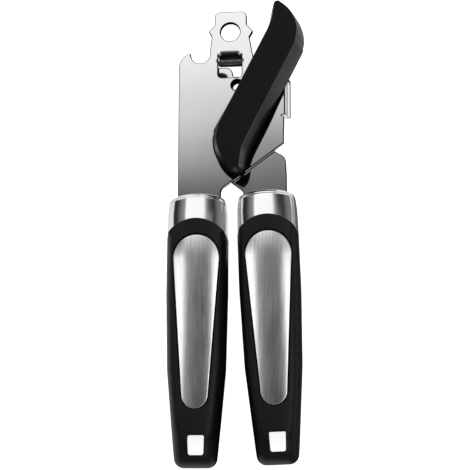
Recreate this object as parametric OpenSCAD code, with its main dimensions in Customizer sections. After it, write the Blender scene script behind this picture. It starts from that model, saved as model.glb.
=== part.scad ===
// Manual can opener: two flat steel levers on a hollow rivet, a turn key that drives a
// toothed feed wheel, and a free cutting wheel.  It lies on its back with the key up.
// X runs across the handles, Y from the handle ends to the head, Z up from the table.
// The origin is on the table, under the middle of the whole tool.

/* [Handles] */
// Distance from a handle's butt end to the start of its collar, in mm
grip_length = 104.8; // [100:0.2:110]
// Largest width of a handle
grip_width = 27.8; // [26:0.2:29]
// Thickness of a handle, front to back
grip_thickness = 18.7; // [18:0.1:20]
// Lean of the left handle's axis, in degrees
left_lean = -0.25; // [-1:0.05:0]
// Lean of the right handle's axis, in degrees
right_lean = 2.1; // [1.5:0.1:2.5]
// Radius of the upper end of an inlay
inlay_top_r = 10.25; // [9:0.25:10.5]
// Radius of the lower end of an inlay
inlay_end_r = 5.7; // [5:0.1:6]

/* [Plates] */
// Thickness of both lever plates
plate_t = 2.5; // [2:0.1:2.5]
// Gap between the two lever plates
plate_gap = 0.3; // [0.2:0.1:0.4]
// Height of the front plate's front face above the table
front_face_z = 12; // [11.8:0.1:12.2]
// Radius of the hanging hole in the tongue
hang_r = 4.6; // [4:0.1:5]
// Radius of the bottle opener's bite
bite_r = 4.45; // [4:0.05:4.8]

/* [Mechanism] */
// Radius inside the hollow pivot rivet
pivot_bore_r = 2.8; // [2.4:0.1:2.8]
// Radius of the drive shaft
shaft_r = 3.5; // [3:0.1:3.5]
// Radius of the feed wheel over its teeth
feed_r = 5.6; // [5.2:0.1:5.8]
// Number of teeth on the feed wheel
feed_teeth = 20; // [16:1:24]
// Radius of the cutting wheel
cutter_r = 9; // [8.6:0.1:9.2]
// Opening angle of the levers that the shaft slot allows, in degrees
open_angle = 30; // [20:1:30]

/* [Key] */
// Height of the key's underside above the table
key_base_z = 13; // [12.9:0.1:13.5]
// Height of the key's top face above the table
key_top_z = 28; // [26:0.5:30]

/* [Hidden] */
$fn = 64;
eps = 0.01;

// Heights of the plates and of the split between the handle halves
front_z = front_face_z - plate_t;
rear_z = front_z - plate_gap - plate_t;
split_z = grip_thickness / 2;

// Axes of the pivot, the drive shaft and the cutting wheel
pivot = [0.5, 69.05];
shaft = [10.85, 64.6];
cutter = [-0.45, 57];
// Handle frames: the point on each handle's axis where its grip begins
left_root = [-17.6, -0.4];
right_root = [14.15, 0.8];

steel = [0.78, 0.79, 0.8];
chrome = [0.86, 0.87, 0.88];
brushed = [0.62, 0.62, 0.62];
black = [0.09, 0.09, 0.09];
hard_steel = [0.55, 0.56, 0.58];

// ---- Outline helpers ---------------------------------------------------------------

function unit(v) = v / norm(v);
function xy(p) = [p[0], p[1]];

// Points along an arc about a centre, from one angle to another
function arc(c, r, a0, a1, n = 16) =
    [for (i = [0 : n]) let (a = a0 + (a1 - a0) * i / n) [c[0] + r * cos(a), c[1] + r * sin(a)]];

// Points that round the corner b between a and c with a radius
function corner(a, b, c, r, n = 8) =
    r == 0 ? [b] :
    let (u = unit(a - b), v = unit(c - b), half = acos(u * v) / 2,
         m = b + unit(u + v) * r / sin(half),
         s = b + u * r / tan(half) - m, e = b + v * r / tan(half) - m,
         turn = (s[0] * e[1] - s[1] * e[0] > 0 ? 1 : -1) * (180 - 2 * half))
    [for (i = [0 : n]) let (t = turn * i / n)
        m + [s[0] * cos(t) - s[1] * sin(t), s[0] * sin(t) + s[1] * cos(t)]];

// A closed outline from corners given as [x, y, radius]
function rounded(p) =
    let (n = len(p))
    [for (i = [0 : n - 1])
        each corner(xy(p[(i + n - 1) % n]), xy(p[i]), xy(p[(i + 1) % n]), p[i][2])];

// An open outline from corners given as [x, y, radius]; its two ends stay sharp
function rounded_open(p) =
    let (n = len(p))
    concat([xy(p[0])],
           [for (i = [1 : n - 2]) each corner(xy(p[i - 1]), xy(p[i]), xy(p[i + 1]), p[i][2])],
           [xy(p[n - 1])]);

// Outline round two circles on one upright line, the larger one at the top
function tapered_slot(top_y, top_r, end_y, end_r) =
    let (a = asin((top_r - end_r) / (top_y - end_y)))
    concat(arc([0, top_y], top_r, -a, 180 + a, 32), arc([0, end_y], end_r, 180 + a, 360 - a, 20));

module disc(c, r, z0, z1) {
    translate([c[0], c[1], z0]) cylinder(r = r, h = z1 - z0);
}

module ring(c, r_in, r_out, z0, z1) {
    difference() {
        disc(c, r_out, z0, z1);
        disc(c, r_in, z0 - 1, z1 + 1);
    }
}

module slab(points, z0, z1) {
    translate([0, 0, z0]) linear_extrude(z1 - z0) polygon(points);
}

module at_handle(root, lean) {
    translate([root[0], root[1], 0]) rotate([0, 0, lean]) children();
}

// ---- Lever plates -------------------------------------------------------------------

hang = [-2.7, 95.1];
bite = [-16.65, 84.8];
flange_low = 54;
flange_high = 72.6;
window = [[-8.35, 72.9], [3.05, 85.9]];
tang_w = 12;
tang_end = -62;
screw_ys = [-20, -52];
screw_hole_r = 1.8;

// The left lever's outline, from the tang up the outer edge, round the bottle opener's
// hook and bite, over the barbed tongue, and down the guide edge to the slanted end
front_outline = concat(
    rounded_open([[-23.68, -20, 0], [-23.86, tang_end, 2], [-11.86, tang_end, 2], [-11.62, -6, 2],
                  [-7, -2, 2], [-7, 19.65, 3], [21.85, 40.75, 0.8], [22.1, 53.3, 0.3],
                  [22.4, 53.6, 0], [22.4, flange_low + 0.1, 0], [21, flange_low + 0.1, 0],
                  [21, flange_high - 0.1, 0], [22.4, flange_high - 0.1, 0],
                  [22.4, 76, 3], [13, 78.6, 5], [8.4, 80.5, 3],
                  [6.3, 92.4, 0.4], [8, 95.4, 0.4], [5.05, 98.6, 0.8], [4.9, 105.2, 2.4],
                  [-10, 105.2, 2.4], [-10, 98.7, 0.8], [-12.9, 95.7, 0.4], [-11.4, 93, 0.4],
                  [-12.25, 85.6, 0]]),
    arc(bite, bite_r, 9, -187, 28),
    rounded_open([[-21.05, 85.5, 0], [-26.7, 83.6, 8.1], [-26.7, -2, 2], [-23.62, -6, 2],
                  [-23.68, -19, 0]]));

// Profile across the guide flange: it turns back from the plate and ends in a small lip
flange_profile = rounded([[20.5, front_face_z, 0], [23.4, front_face_z, 1.8], [23.4, 6.6, 0.8],
                          [25, 6.6, 0.6], [25, 4.6, 0.6], [21.4, 4.6, 1.5], [21.4, front_z, 0.4],
                          [20.5, front_z, 0]]);

// Profile along the cap lifter's tongue, [y, z]: it dips back behind the plate
lifter_profile = rounded([[87, front_face_z, 0], [85, front_face_z, 1.6], [83.2, 8.9, 1.6],
                          [79.9, 8.2, 0.4], [79.8, 6.2, 0.4], [83.6, 6.3, 2.2],
                          [85.4, front_z, 0.8], [87, front_z, 0]]);

// Slot that lets the shaft swing about the pivot as the levers open
module swing_slot() {
    arm = norm(shaft - pivot);
    start = atan2(shaft[1] - pivot[1], shaft[0] - pivot[0]);
    end = start + open_angle;
    half_w = shaft_r + 0.5;
    slab(concat(arc(pivot, arm + half_w, start + 1, end - 1, 8),
                arc(pivot + arm * [cos(end), sin(end)], half_w, end, end + 180, 24),
                arc(pivot, arm - half_w, end - 1, start + 1, 8),
                arc(shaft, half_w, start + 180, start + 360, 24)),
         front_z - 1, front_face_z + 1);
}

module front_plate() {
    color(steel) difference() {
        union() {
            difference() {
                slab(front_outline, front_z, front_face_z);
                disc(hang, hang_r, front_z - 1, front_face_z + 1);
                slab(rounded([[window[0][0], window[0][1], 1.8], [window[1][0], window[0][1], 1.8],
                              [window[1][0], window[1][1], 1.8], [window[0][0], window[1][1], 1.8]]),
                     front_z - 1, front_face_z + 1);
                swing_slot();
            }
            // guide flange
            translate([0, flange_high, 0]) rotate([90, 0, 0])
                linear_extrude(flange_high - flange_low) polygon(flange_profile);
            // cap lifter
            translate([window[0][0] + 0.3, 0, 0]) rotate([90, 0, 90])
                linear_extrude(window[1][0] - window[0][0] - 0.6) polygon(lifter_profile);
        }
        disc(pivot, pivot_bore_r + 0.8, front_z - 1, front_face_z + 1);
        translate([pivot[0], pivot[1], front_face_z - 0.6])
            cylinder(r1 = pivot_bore_r + 0.8, r2 = pivot_bore_r + 1.4 + eps, h = 0.6 + eps);
        disc(cutter, 2.6, front_z - 1, front_face_z + 1);
        at_handle(left_root, left_lean) for (y = screw_ys)
            disc([0, y], screw_hole_r, front_z - 1, front_face_z + 1);
    }
}

// The right lever's outline: boss round the shaft, eye round the pivot with the stop ear,
// neck behind the front plate, hip, and tang
rear_outline = rounded([[2.95, 19.2, 2], [-4.6, 25.2, 3], [-3.4, 46, 6], [3.9, 53.5, 4],
                        [4.4, 60.5, 3], [-1.6, 62.6, 4.6], [-4.9, 68.6, 3], [-10.5, 69.5, 3],
                        [-10.5, 78.7, 2], [-1.75, 78.7, 3.9], [-1.75, 74.2, 2], [5.6, 74, 4],
                        [15, 73.2, 7.5], [19.4, 66.5, 5.5], [17, 56.5, 5], [9.6, 46, 3],
                        [15.5, 38.85, 5], [22.5, 34.9, 4], [22.9, 26, 8], [22.9, -2, 3],
                        [20.4, -6, 2], [22.45, tang_end, 2], [10.45, tang_end, 2],
                        [8.4, -6, 2], [3.2, -2, 2]]);

module rear_plate() {
    color(steel) difference() {
        slab(rear_outline, rear_z, rear_z + plate_t);
        disc(pivot, pivot_bore_r + 0.85, rear_z - 1, rear_z + plate_t + 1);
        disc(shaft, shaft_r + 1.5, rear_z - 1, rear_z + plate_t + 1);
        at_handle(right_root, right_lean) for (y = screw_ys)
            disc([0, y], screw_hole_r, rear_z - 1, rear_z + plate_t + 1);
    }
}

// ---- Handles ------------------------------------------------------------------------

grip_arc_r = 20.3;
grip_arc_rise = 5.6;
inlay_depth = 1.2;
inlay_top_y = -12.6;
inlay_end_y = -73.7;
hole_y = -95.3;
hole_low = [7.4, 8.4];
hole_height = 10.3;
butt_r = 6.4;

// A grip's outline drawn in by a distance; end_in is the distance at the butt
function grip_outline(inset, end_in) =
    let (w = grip_width / 2 - inset)
    rounded([[w, grip_arc_rise, 0], [w, -28, 40], [w - 1.1, -62, 30], [w - 4.4, -97 + inset, 8],
             [w - 5.2, end_in - grip_length, max(2, butt_r - inset)],
             [5.2 - w, end_in - grip_length, max(2, butt_r - inset)],
             [4.4 - w, -97 + inset, 8], [1.1 - w, -62, 30], [-w, -28, 40], [-w, grip_arc_rise, 0]]);

module grip_slice(inset, end_in, z) {
    translate([0, 0, z]) linear_extrude(eps) polygon(grip_outline(inset, end_in));
}

// The rounded front half of a grip, from the split plane up
module grip_half() {
    h = grip_thickness / 2;
    hull() {
        grip_slice(0, 0, 0);
        grip_slice(0.15, 0.3, h * 0.32);
        grip_slice(1, 2.4, h * 0.68);
        grip_slice(2.4, 8, h * 0.9);
        grip_slice(4, 17, h - eps);
    }
}

module hang_slot() {
    low = hole_low[0] / 2;
    high = hole_low[1] / 2;
    half_h = hole_height / 2;
    slab(rounded([[low, hole_y - half_h, 1], [high, hole_y + half_h, 1],
                  [-high, hole_y + half_h, 1], [-low, hole_y - half_h, 1]]),
         -1, grip_thickness + 1);
}

// Everything beyond the curved upper edge of a grip
module beyond_arc() {
    difference() {
        translate([-20, -8, -1]) cube([40, 30, grip_thickness + 2]);
        disc([0, grip_arc_rise - grip_arc_r], grip_arc_r, -2, grip_thickness + 2);
    }
}

module inlay_slab(grow, z0, z1) {
    slab(tapered_slot(inlay_top_y, inlay_top_r + grow, inlay_end_y, inlay_end_r + grow), z0, z1);
}

// One shell of a grip.  tang_low and tang_high are the heights of the plate inside
module grip_shell(front, tang_low, tang_high) {
    color(black) difference() {
        translate([0, 0, split_z]) mirror([0, 0, front ? 0 : 1]) grip_half();
        beyond_arc();
        hang_slot();
        // seat for the inlay
        if (front) inlay_slab(0.1, grip_thickness - inlay_depth, grip_thickness + 1);
        else inlay_slab(0.1, -1, inlay_depth);
        // pocket for the tang, and the wide mouth that takes the collar's sleeve
        translate([-tang_w / 2 - 0.1, tang_end - 2, tang_low])
            cube([tang_w + 0.2, 90, tang_high - tang_low]);
        sleeve(0.1);
        for (y = screw_ys) {
            disc([0, y], 1.6, 4, 15);
            if (!front) disc([0, y], 3.2, inlay_depth - 1, 3.6);
        }
    }
}

// The neck of a collar, which sits inside the grip's mouth
module sleeve(grow) {
    w = 11.4 + grow;
    h = 6.2 + grow;
    translate([0, 8, split_z]) rotate([90, 0, 0])
        linear_extrude(18 + grow) polygon(rounded([[w, h, 4], [-w, h, 4], [-w, -h, 4], [w, -h, 4]]));
}

module collar_slice(w, h, r, y) {
    translate([0, y, split_z]) rotate([90, 0, 0])
        linear_extrude(eps) polygon(rounded([[w, h, r], [-w, h, r], [-w, -h, r], [w, -h, r]]));
}

// Polished collar: a capped oval cup with a slot for its lever plate
module ferrule(slot_low, slot_high, slot_left, slot_right) {
    h = grip_thickness / 2;
    color(chrome) difference() {
        union() {
            difference() {
                hull() {
                    collar_slice(14.1, h, 8.2, -6);
                    collar_slice(13.7, h, 8.2, 8);
                    collar_slice(12.7, h - 0.5, 7.6, 13.6);
                    collar_slice(11.3, h - 1.4, 6.6, 16.4);
                    collar_slice(9.8, h - 2.8, 5.4, 17.5);
                }
                // the grip covers the collar below its curved edge
                translate([-20, -30, -1]) cube([40, 24.1 + eps, grip_thickness + 2]);
                disc([0, grip_arc_rise - grip_arc_r + 0.1], grip_arc_r, -1, grip_thickness + 1);
            }
            sleeve(0);
        }
        // hollow inside
        translate([0, 15.4, split_z]) rotate([90, 0, 0])
            linear_extrude(40) polygon(rounded([[9.6, 4.9, 3], [-9.6, 4.9, 3],
                                                [-9.6, -4.9, 3], [9.6, -4.9, 3]]));
        translate([slot_left, -20, slot_low]) cube([slot_right - slot_left, 60, slot_high - slot_low]);
    }
}

// Crowned steel inlay, drawn for the front; its outer face is the flat of its crown
module inlay() {
    color(brushed) hull() {
        inlay_slab(0, grip_thickness - inlay_depth, grip_thickness - 0.3);
        inlay_slab(-0.7, grip_thickness - 0.1, grip_thickness);
    }
}

module to_back() {
    translate([0, 0, grip_thickness]) mirror([0, 0, 1]) children();
}

// Two self-tapping screws: wide heads under the back inlay, threaded into the front shell
module screws() {
    color(hard_steel) for (y = screw_ys) {
        difference() {
            union() {
                disc([0, y], 3, 1.9, 3.5);
                disc([0, y], 1.5, 3.4, 14);
            }
            translate([-0.4, y - 2, 1]) cube([0.8, 4, 1.6]);
        }
    }
}

module left_grip_front() {
    at_handle(left_root, left_lean) grip_shell(true, front_z - 0.1, front_face_z + 0.1);
}
module left_grip_back() {
    at_handle(left_root, left_lean) grip_shell(false, split_z - 1, split_z + 1);
}
module right_grip_front() {
    at_handle(right_root, right_lean) grip_shell(true, split_z - 1, split_z + 0.3);
}
module right_grip_back() {
    at_handle(right_root, right_lean) grip_shell(false, rear_z - 0.1, rear_z + plate_t + 1);
}
module left_ferrule() {
    at_handle(left_root, left_lean) ferrule(front_z - 0.05, front_face_z + 0.05, -9.2, 10.8);
}
module right_ferrule() {
    at_handle(right_root, right_lean) ferrule(rear_z - 0.05, rear_z + plate_t + 0.05, -11.2, 9.6);
}
module left_inlay_front() { at_handle(left_root, left_lean) inlay(); }
module left_inlay_back() { at_handle(left_root, left_lean) to_back() inlay(); }
module right_inlay_front() { at_handle(right_root, right_lean) inlay(); }
module right_inlay_back() { at_handle(right_root, right_lean) to_back() inlay(); }
module left_screws() { at_handle(left_root, left_lean) screws(); }
module right_screws() { at_handle(right_root, right_lean) screws(); }

// ---- Pivot and cutter ---------------------------------------------------------------

// Hollow rivet: countersunk flush in front, rolled over behind the rear plate
module pivot_rivet() {
    tail_z = rear_z - 0.75;
    color(steel) difference() {
        union() {
            disc(pivot, pivot_bore_r + 0.8, tail_z, front_face_z);
            translate([pivot[0], pivot[1], front_face_z - 0.6])
                cylinder(r1 = pivot_bore_r + 0.8, r2 = pivot_bore_r + 1.4, h = 0.6);
            disc(pivot, pivot_bore_r + 2, tail_z, rear_z - 0.05);
        }
        disc(pivot, pivot_bore_r, tail_z - 1, front_face_z + 1);
    }
}

cutter_low = 2.7;
cutter_high = 3.8;

// Shouldered rivet that carries the cutting wheel behind the plates
module cutter_rivet() {
    color(hard_steel) {
        disc(cutter, 2.6, cutter_low - 0.3, front_face_z);
        translate([cutter[0], cutter[1], cutter_low - 1.2]) cylinder(r1 = 3.4, r2 = 4.2, h = 0.6);
        disc(cutter, 4.2, cutter_low - 0.6, cutter_low - 0.1);
    }
}

module cutter_spacer() {
    color(steel) ring(cutter, 2.6, 3.3, cutter_high + 0.1, front_z);
}

// Round blade, ground to an edge on its inner side
module cutting_wheel() {
    color(hard_steel) translate([cutter[0], cutter[1], 0]) rotate_extrude()
        polygon([[2.65, cutter_low], [cutter_r - 1.8, cutter_low], [cutter_r, cutter_high - 0.15],
                 [cutter_r - 0.05, cutter_high], [2.65, cutter_high]]);
}

// ---- Drive --------------------------------------------------------------------------

module shaft_bushing() {
    color([0.7, 0.6, 0.35]) {
        ring(shaft, shaft_r + 0.05, shaft_r + 1.5, rear_z - 0.2, rear_z + plate_t);
        ring(shaft, shaft_r + 0.05, shaft_r + 2.7, rear_z - 0.8, rear_z);
    }
}

feed_low = 4;
feed_high = 5.7;
feed_bore_r = 2.4;
core_low = key_base_z + 0.4;
core_high = key_top_z - 2.6;
flat_w = 5.2;

module drive_shaft() {
    color(hard_steel) difference() {
        union() {
            disc(shaft, shaft_r, feed_high + 0.05, core_low);
            disc(shaft, feed_bore_r, feed_low, feed_high + 0.1);
            intersection() {
                disc(shaft, shaft_r, core_low - 1, core_high - 3);
                translate([shaft[0] - 10, shaft[1] - flat_w / 2, core_low - 1])
                    cube([20, flat_w, core_high]);
            }
        }
        disc(shaft, 1.5, 0, 9.5);
    }
}

// Toothed wheel that grips under the can's rim; each tooth is a small saw tooth
module feed_wheel() {
    step = 360 / feed_teeth;
    teeth = [for (i = [0 : feed_teeth - 1])
        each [feed_r * [cos(i * step), sin(i * step)],
              feed_r * [cos((i + 0.25) * step), sin((i + 0.25) * step)],
              (feed_r - 0.7) * [cos((i + 0.65) * step), sin((i + 0.65) * step)]]];
    color(hard_steel) difference() {
        translate([shaft[0], shaft[1], feed_low]) linear_extrude(feed_high - feed_low) polygon(teeth);
        disc(shaft, feed_bore_r, feed_low - 1, feed_high + 1);
    }
}

module spring_washer() {
    color(steel) ring(shaft, 1.6, 3.8, feed_low - 0.6, feed_low);
}

// Screw that holds the feed wheel on the shaft's end
module feed_screw() {
    head_z = feed_low - 0.6;
    color(hard_steel) difference() {
        union() {
            disc(shaft, 1.5, head_z, 9.5);
            disc(shaft, 3.6, head_z - 1.2, head_z);
            translate([shaft[0], shaft[1], head_z - 1.8]) cylinder(r1 = 2.8, r2 = 3.6, h = 0.6);
        }
        translate([shaft[0] - 0.5, shaft[1] - 5, head_z - 3]) cube([1, 10, 2]);
    }
}

module thrust_washer() {
    color(steel) ring(shaft, shaft_r + 0.1, 7.2, front_face_z + 0.15, front_face_z + 0.75);
}

// The key's flanks lean by this angle from Y; its outline is the same after half a turn
key_lean = 26.8;
key_corner_r = 8;
key_normal = [cos(key_lean), -sin(key_lean)];

// Point on the right flank at a height y, for a flank this far from the axis
function right_flank(offset, y) = [(offset + sin(key_lean) * y) / cos(key_lean), y];
function left_flank(offset, y) = -right_flank(offset, -y);

// Upper end of the key.  neck_y is where the left flank turns up towards the tip,
// tip and tip_r place the tip's rounding, far_r is the radius of the long end arc
function key_end(offset, neck_y, side, tip, tip_r, far, far_r) =
    let (hub = far + (far_r - key_corner_r) * unit([far_r - key_corner_r, -offset / 12]))
    concat([left_flank(offset, neck_y)], side, arc(tip, tip_r, 175, 75, 6),
           arc(far, far_r, 60, 0, 14), arc(hub, key_corner_r, 0, -key_lean, 6));

function key_middle(offset, neck_y) =
    [right_flank(offset, 19.8), left_flank(offset, neck_y),
     -right_flank(offset, 19.8), -left_flank(offset, neck_y)];

key_levels = [
    // height, flank distance, neck height, side points, tip, tip radius, arc centre, arc radius
    [key_base_z, 9.2, 28, [[4.8, 32.6], [5.6, 36.6]], [8.6, 37.4], 2.9, [2.9, 24], 18.1],
    [key_top_z - 0.8, 7.25, 25.6, [[6.8, 29.8], [7.9, 36.4]], [9.7, 37], 1.8, [3.2, 24.2], 16],
    [key_top_z, 6.6, 25.6, [[7.2, 30], [8.6, 36.2]], [10, 36.4], 1.4, [3.2, 24.2], 15.3]];

module key_slice(points, z, h = eps) {
    translate([shaft[0], shaft[1], z]) linear_extrude(h) polygon(points);
}

module key_end_solid() {
    hull() for (k = key_levels)
        key_slice(key_end(k[1], k[2], k[3], k[4], k[5], k[6], k[7]), k[0] - (k[0] == key_top_z ? eps : 0));
}

module key_middle_solid() {
    hull() for (k = key_levels)
        key_slice(key_middle(k[1], k[2]), k[0] - (k[0] == key_top_z ? eps : 0));
}

// Slim S-shaped prism inside the key, drawn in or out by a distance
module key_core_slab(grow, z0, z1) {
    offset_w = 4.6 + grow;
    half = [right_flank(offset_w, 15), right_flank(offset_w, 15) + [1.5, 9],
            left_flank(offset_w, 22) + [2.5, 6], left_flank(offset_w, 19)];
    key_slice(concat(half, -half), z0, z1 - z0);
}

module knob_shell() {
    color(black) difference() {
        union() {
            key_middle_solid();
            key_end_solid();
            translate([shaft[0], shaft[1], 0]) rotate([0, 0, 180])
                translate([-shaft[0], -shaft[1], 0]) key_end_solid();
        }
        key_core_slab(0.05, key_base_z - 1, core_high + 0.1);
    }
}

module knob_core() {
    color([0.16, 0.16, 0.17]) difference() {
        key_core_slab(0, core_low, core_high);
        intersection() {
            disc(shaft, shaft_r + 0.02, core_low - 1, core_high - 2.9);
            translate([shaft[0] - 10, shaft[1] - flat_w / 2 - 0.02, core_low - 1])
                cube([20, flat_w + 0.04, core_high]);
        }
    }
}

front_plate();
left_ferrule();
left_grip_front();
left_grip_back();
left_inlay_front();
left_inlay_back();
left_screws();
rear_plate();
right_ferrule();
right_grip_front();
right_grip_back();
right_inlay_front();
right_inlay_back();
right_screws();
pivot_rivet();
shaft_bushing();
cutter_rivet();
cutter_spacer();
cutting_wheel();
drive_shaft();
thrust_washer();
knob_shell();
knob_core();
feed_wheel();
spring_washer();
feed_screw();
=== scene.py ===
"""Manual can opener: two steel levers on a hollow rivet, a turn key and a cutting wheel.

The tool lies on its back with the key up.  X runs across the handles, Y from the handle
ends to the head, Z up from the table.  Sizes in this file are in millimetres and angles
in degrees; meshes are written to Blender in metres, each in its own place in the frame.
"""

import logging
import math
from dataclasses import dataclass, field
from enum import Enum
from typing import Any, Callable, Optional, Sequence, Union

import bpy
import numpy as np
from mathutils import Matrix, Vector
from mathutils.geometry import delaunay_2d_cdt


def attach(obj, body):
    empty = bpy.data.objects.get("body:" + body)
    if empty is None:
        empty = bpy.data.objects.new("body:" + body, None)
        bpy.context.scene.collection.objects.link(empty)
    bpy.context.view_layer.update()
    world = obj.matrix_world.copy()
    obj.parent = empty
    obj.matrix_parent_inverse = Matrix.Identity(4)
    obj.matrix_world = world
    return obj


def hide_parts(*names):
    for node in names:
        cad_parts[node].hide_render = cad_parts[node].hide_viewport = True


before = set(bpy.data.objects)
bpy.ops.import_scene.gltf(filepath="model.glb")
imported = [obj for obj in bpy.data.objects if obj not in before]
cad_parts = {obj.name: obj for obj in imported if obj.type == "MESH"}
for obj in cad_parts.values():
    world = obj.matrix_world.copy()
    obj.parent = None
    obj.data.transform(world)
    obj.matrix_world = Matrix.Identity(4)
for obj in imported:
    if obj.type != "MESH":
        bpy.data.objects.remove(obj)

logging.basicConfig(level=logging.INFO, format="%(message)s")
log = logging.getLogger("can_opener")

Array = np.ndarray
MM = 0.001
UP = np.array([0.0, 0.0, 1.0])

# Heights and places shared by several sub-assemblies
PLATE_T = 2.5
FRONT_Z = 12.0
REAR_Z = 9.2
GRIP_T = 18.7
SPLIT_Z = GRIP_T / 2
PIVOT = np.array([0.5, 69.05])
SHAFT = np.array([10.85, 64.6])
CUTTER = np.array([-0.45, 57.0])

# Limits for making meshes
TINY = 1e-12
REPEAT = 1e-5
FLAT_ANGLE = 1e-3
MITRE_LIMIT = 0.3
SLIVER = 4e-4
DELAUNAY_MERGE = 1e-6
BATCH = 2_000_000
MERGE_DECIMALS = 4
CREASE_COSINE = 0.8


# ---- Plane geometry -------------------------------------------------------------------


def unit(v: Array) -> Array:
    """Vectors along the last axis, scaled to length one."""
    return v / np.maximum(np.linalg.norm(v, axis=-1, keepdims=True), TINY)


def smooth(t: Array) -> Array:
    """Smooth step from 0 to 1: 3 t squared less 2 t cubed, held outside 0 to 1."""
    t = np.clip(t, 0.0, 1.0)
    return t * t * (3.0 - 2.0 * t)


def part_way(pair: Sequence[float], share: Array) -> Array:
    """The first of two values, moved towards the second by a share of the way."""
    return pair[0] + (pair[1] - pair[0]) * share


def raised(flat: Array, height: Union[float, Array]) -> Array:
    """Plane points with a height, one for all or one each, as n by 3."""
    return np.column_stack([flat, np.broadcast_to(height, len(flat))])


def closed_up(line: Array) -> Array:
    """A closed line with its first point repeated at its end."""
    return np.concatenate([line, line[:1]])


def run_along(line: Array) -> Array:
    """How far each point of an open line is from its start, along the line."""
    return np.concatenate([[0], np.cumsum(np.linalg.norm(np.diff(line, axis=0), axis=1))])


def sides_of(triangles: Array) -> Array:
    """The sides of triangles, all first ones and then the others, as sorted pairs of points."""
    return np.sort(np.concatenate([triangles[:, [k, (k + 1) % 3]] for k in range(3)]), 1)


def without_repeats(points: Array, closed: bool = True) -> Array:
    """Drops each point that lies on the one before it."""
    gap = np.linalg.norm(points - np.roll(points, 1, 0), axis=1)
    kept = gap > REPEAT
    if not closed:
        kept[0] = True
    return points[kept]


def rounded(corners: Sequence[Sequence[float]], steps: int = 8, closed: bool = True) -> Array:
    """Rounds the corners of an outline.

    Each arc's centre lies on its corner's bisector at the radius over the sine of the half
    angle, and the arc runs from one tangent point to the other.

    Args:
        corners: Corners as [x, y, radius].
        steps: Chords in each arc.
        closed: False for an open line, whose end corners have radius 0.

    Returns:
        The outline's points, n by 2.
    """
    c = np.asarray(corners, float)
    p, r = c[:, :2], c[:, 2]
    u, v = unit(np.roll(p, 1, 0) - p), unit(np.roll(p, -1, 0) - p)
    half = np.arccos(np.clip((u * v).sum(1), -1, 1)) / 2
    half = np.maximum(half, FLAT_ANGLE)
    centre = p + unit(u + v) * (r / np.sin(half))[:, None]
    start = p + u * (r / np.tan(half))[:, None] - centre
    end = p + v * (r / np.tan(half))[:, None] - centre
    side = np.sign(start[:, 0] * end[:, 1] - start[:, 1] * end[:, 0])
    turn = (side * (math.pi - 2 * half))[:, None] * np.linspace(0, 1, steps + 1)
    x = start[:, :1] * np.cos(turn) - start[:, 1:] * np.sin(turn)
    y = start[:, :1] * np.sin(turn) + start[:, 1:] * np.cos(turn)
    return without_repeats((centre[:, None] + np.stack([x, y], -1)).reshape(-1, 2), closed)


def arc(centre: Sequence[float], radius: float, start: float, end: float, steps: int) -> Array:
    """Points along an arc from one angle to another, in degrees."""
    a = np.radians(np.linspace(start, end, steps + 1))
    return np.asarray(centre) + radius * np.stack([np.cos(a), np.sin(a)], -1)


def circle(centre: Sequence[float], radius: float, steps: int = 64) -> Array:
    """A full circle, anticlockwise, without a repeated end."""
    return arc(centre, radius, 0, 360, steps)[:-1]


def subdivided(points: Array, count: Array) -> Array:
    """Splits each edge of a closed line into its own number of equal parts."""
    first = np.repeat(np.cumsum(count) - count, count)
    part = (np.arange(count.sum()) - first) / np.repeat(count, count)
    start = np.repeat(points, count, 0)
    return start + (np.repeat(np.roll(points, -1, 0), count, 0) - start) * part[:, None]


def divided(points: Array, spacing: float, closed: bool = True) -> Array:
    """Splits each edge of a line into equal parts no longer than the spacing.

    Args:
        points: The line's points, n by 2.
        spacing: Longest part.
        closed: Whether the last point joins the first.

    Returns:
        The finer line.
    """
    length = np.linalg.norm(np.roll(points, -1, 0) - points, axis=1)
    count = np.maximum(1, np.ceil(length / spacing)).astype(int)
    if not closed:
        count[-1] = 1
    return subdivided(points, count)


def divided_like(line: Array, other: Array) -> Array:
    """Divides a closed line at the shares of its length at which another has its points.

    Args:
        line: The closed line to divide.
        other: The closed line whose division is copied.

    Returns:
        As many points as the other line has.
    """
    ends = closed_up(line)
    run, other_run = run_along(ends), run_along(closed_up(other))
    share = other_run[:-1] / other_run[-1] * run[-1]
    return np.stack([np.interp(share, run, ends[:, k]) for k in (0, 1)], 1)


def left_normals(points: Array, closed: bool = True) -> Array:
    """Mitred normals to the left of a line.

    Each is the sum of its two edges' normals over one plus their product, so that a line
    moved along it stays parallel.

    Args:
        points: The line's points, n by 2.
        closed: Whether the last point joins the first.

    Returns:
        One vector per point, longer than one at a bend.
    """
    edge = unit(np.roll(points, -1, 0) - points)
    before = np.roll(edge, 1, 0)
    if not closed:
        edge[-1], before[0] = before[-1], edge[0]
    n0, n1 = (np.stack([-e[:, 1], e[:, 0]], -1) for e in (before, edge))
    return (n0 + n1) / np.maximum(1 + (n0 * n1).sum(1, keepdims=True), MITRE_LIMIT)


def offset(points: Array, distance: Union[float, Array], closed: bool = True) -> Array:
    """A line moved to its left by a distance, or by one distance per point."""
    return points + left_normals(points, closed) * np.reshape(distance, (-1, 1))


def facing_out(loop: Array, up: float = 0.0) -> Array:
    """Directions to the right of a loop's edges, with a share of upward, n by 3."""
    return raised(-unit(left_normals(loop)), up)


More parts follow.
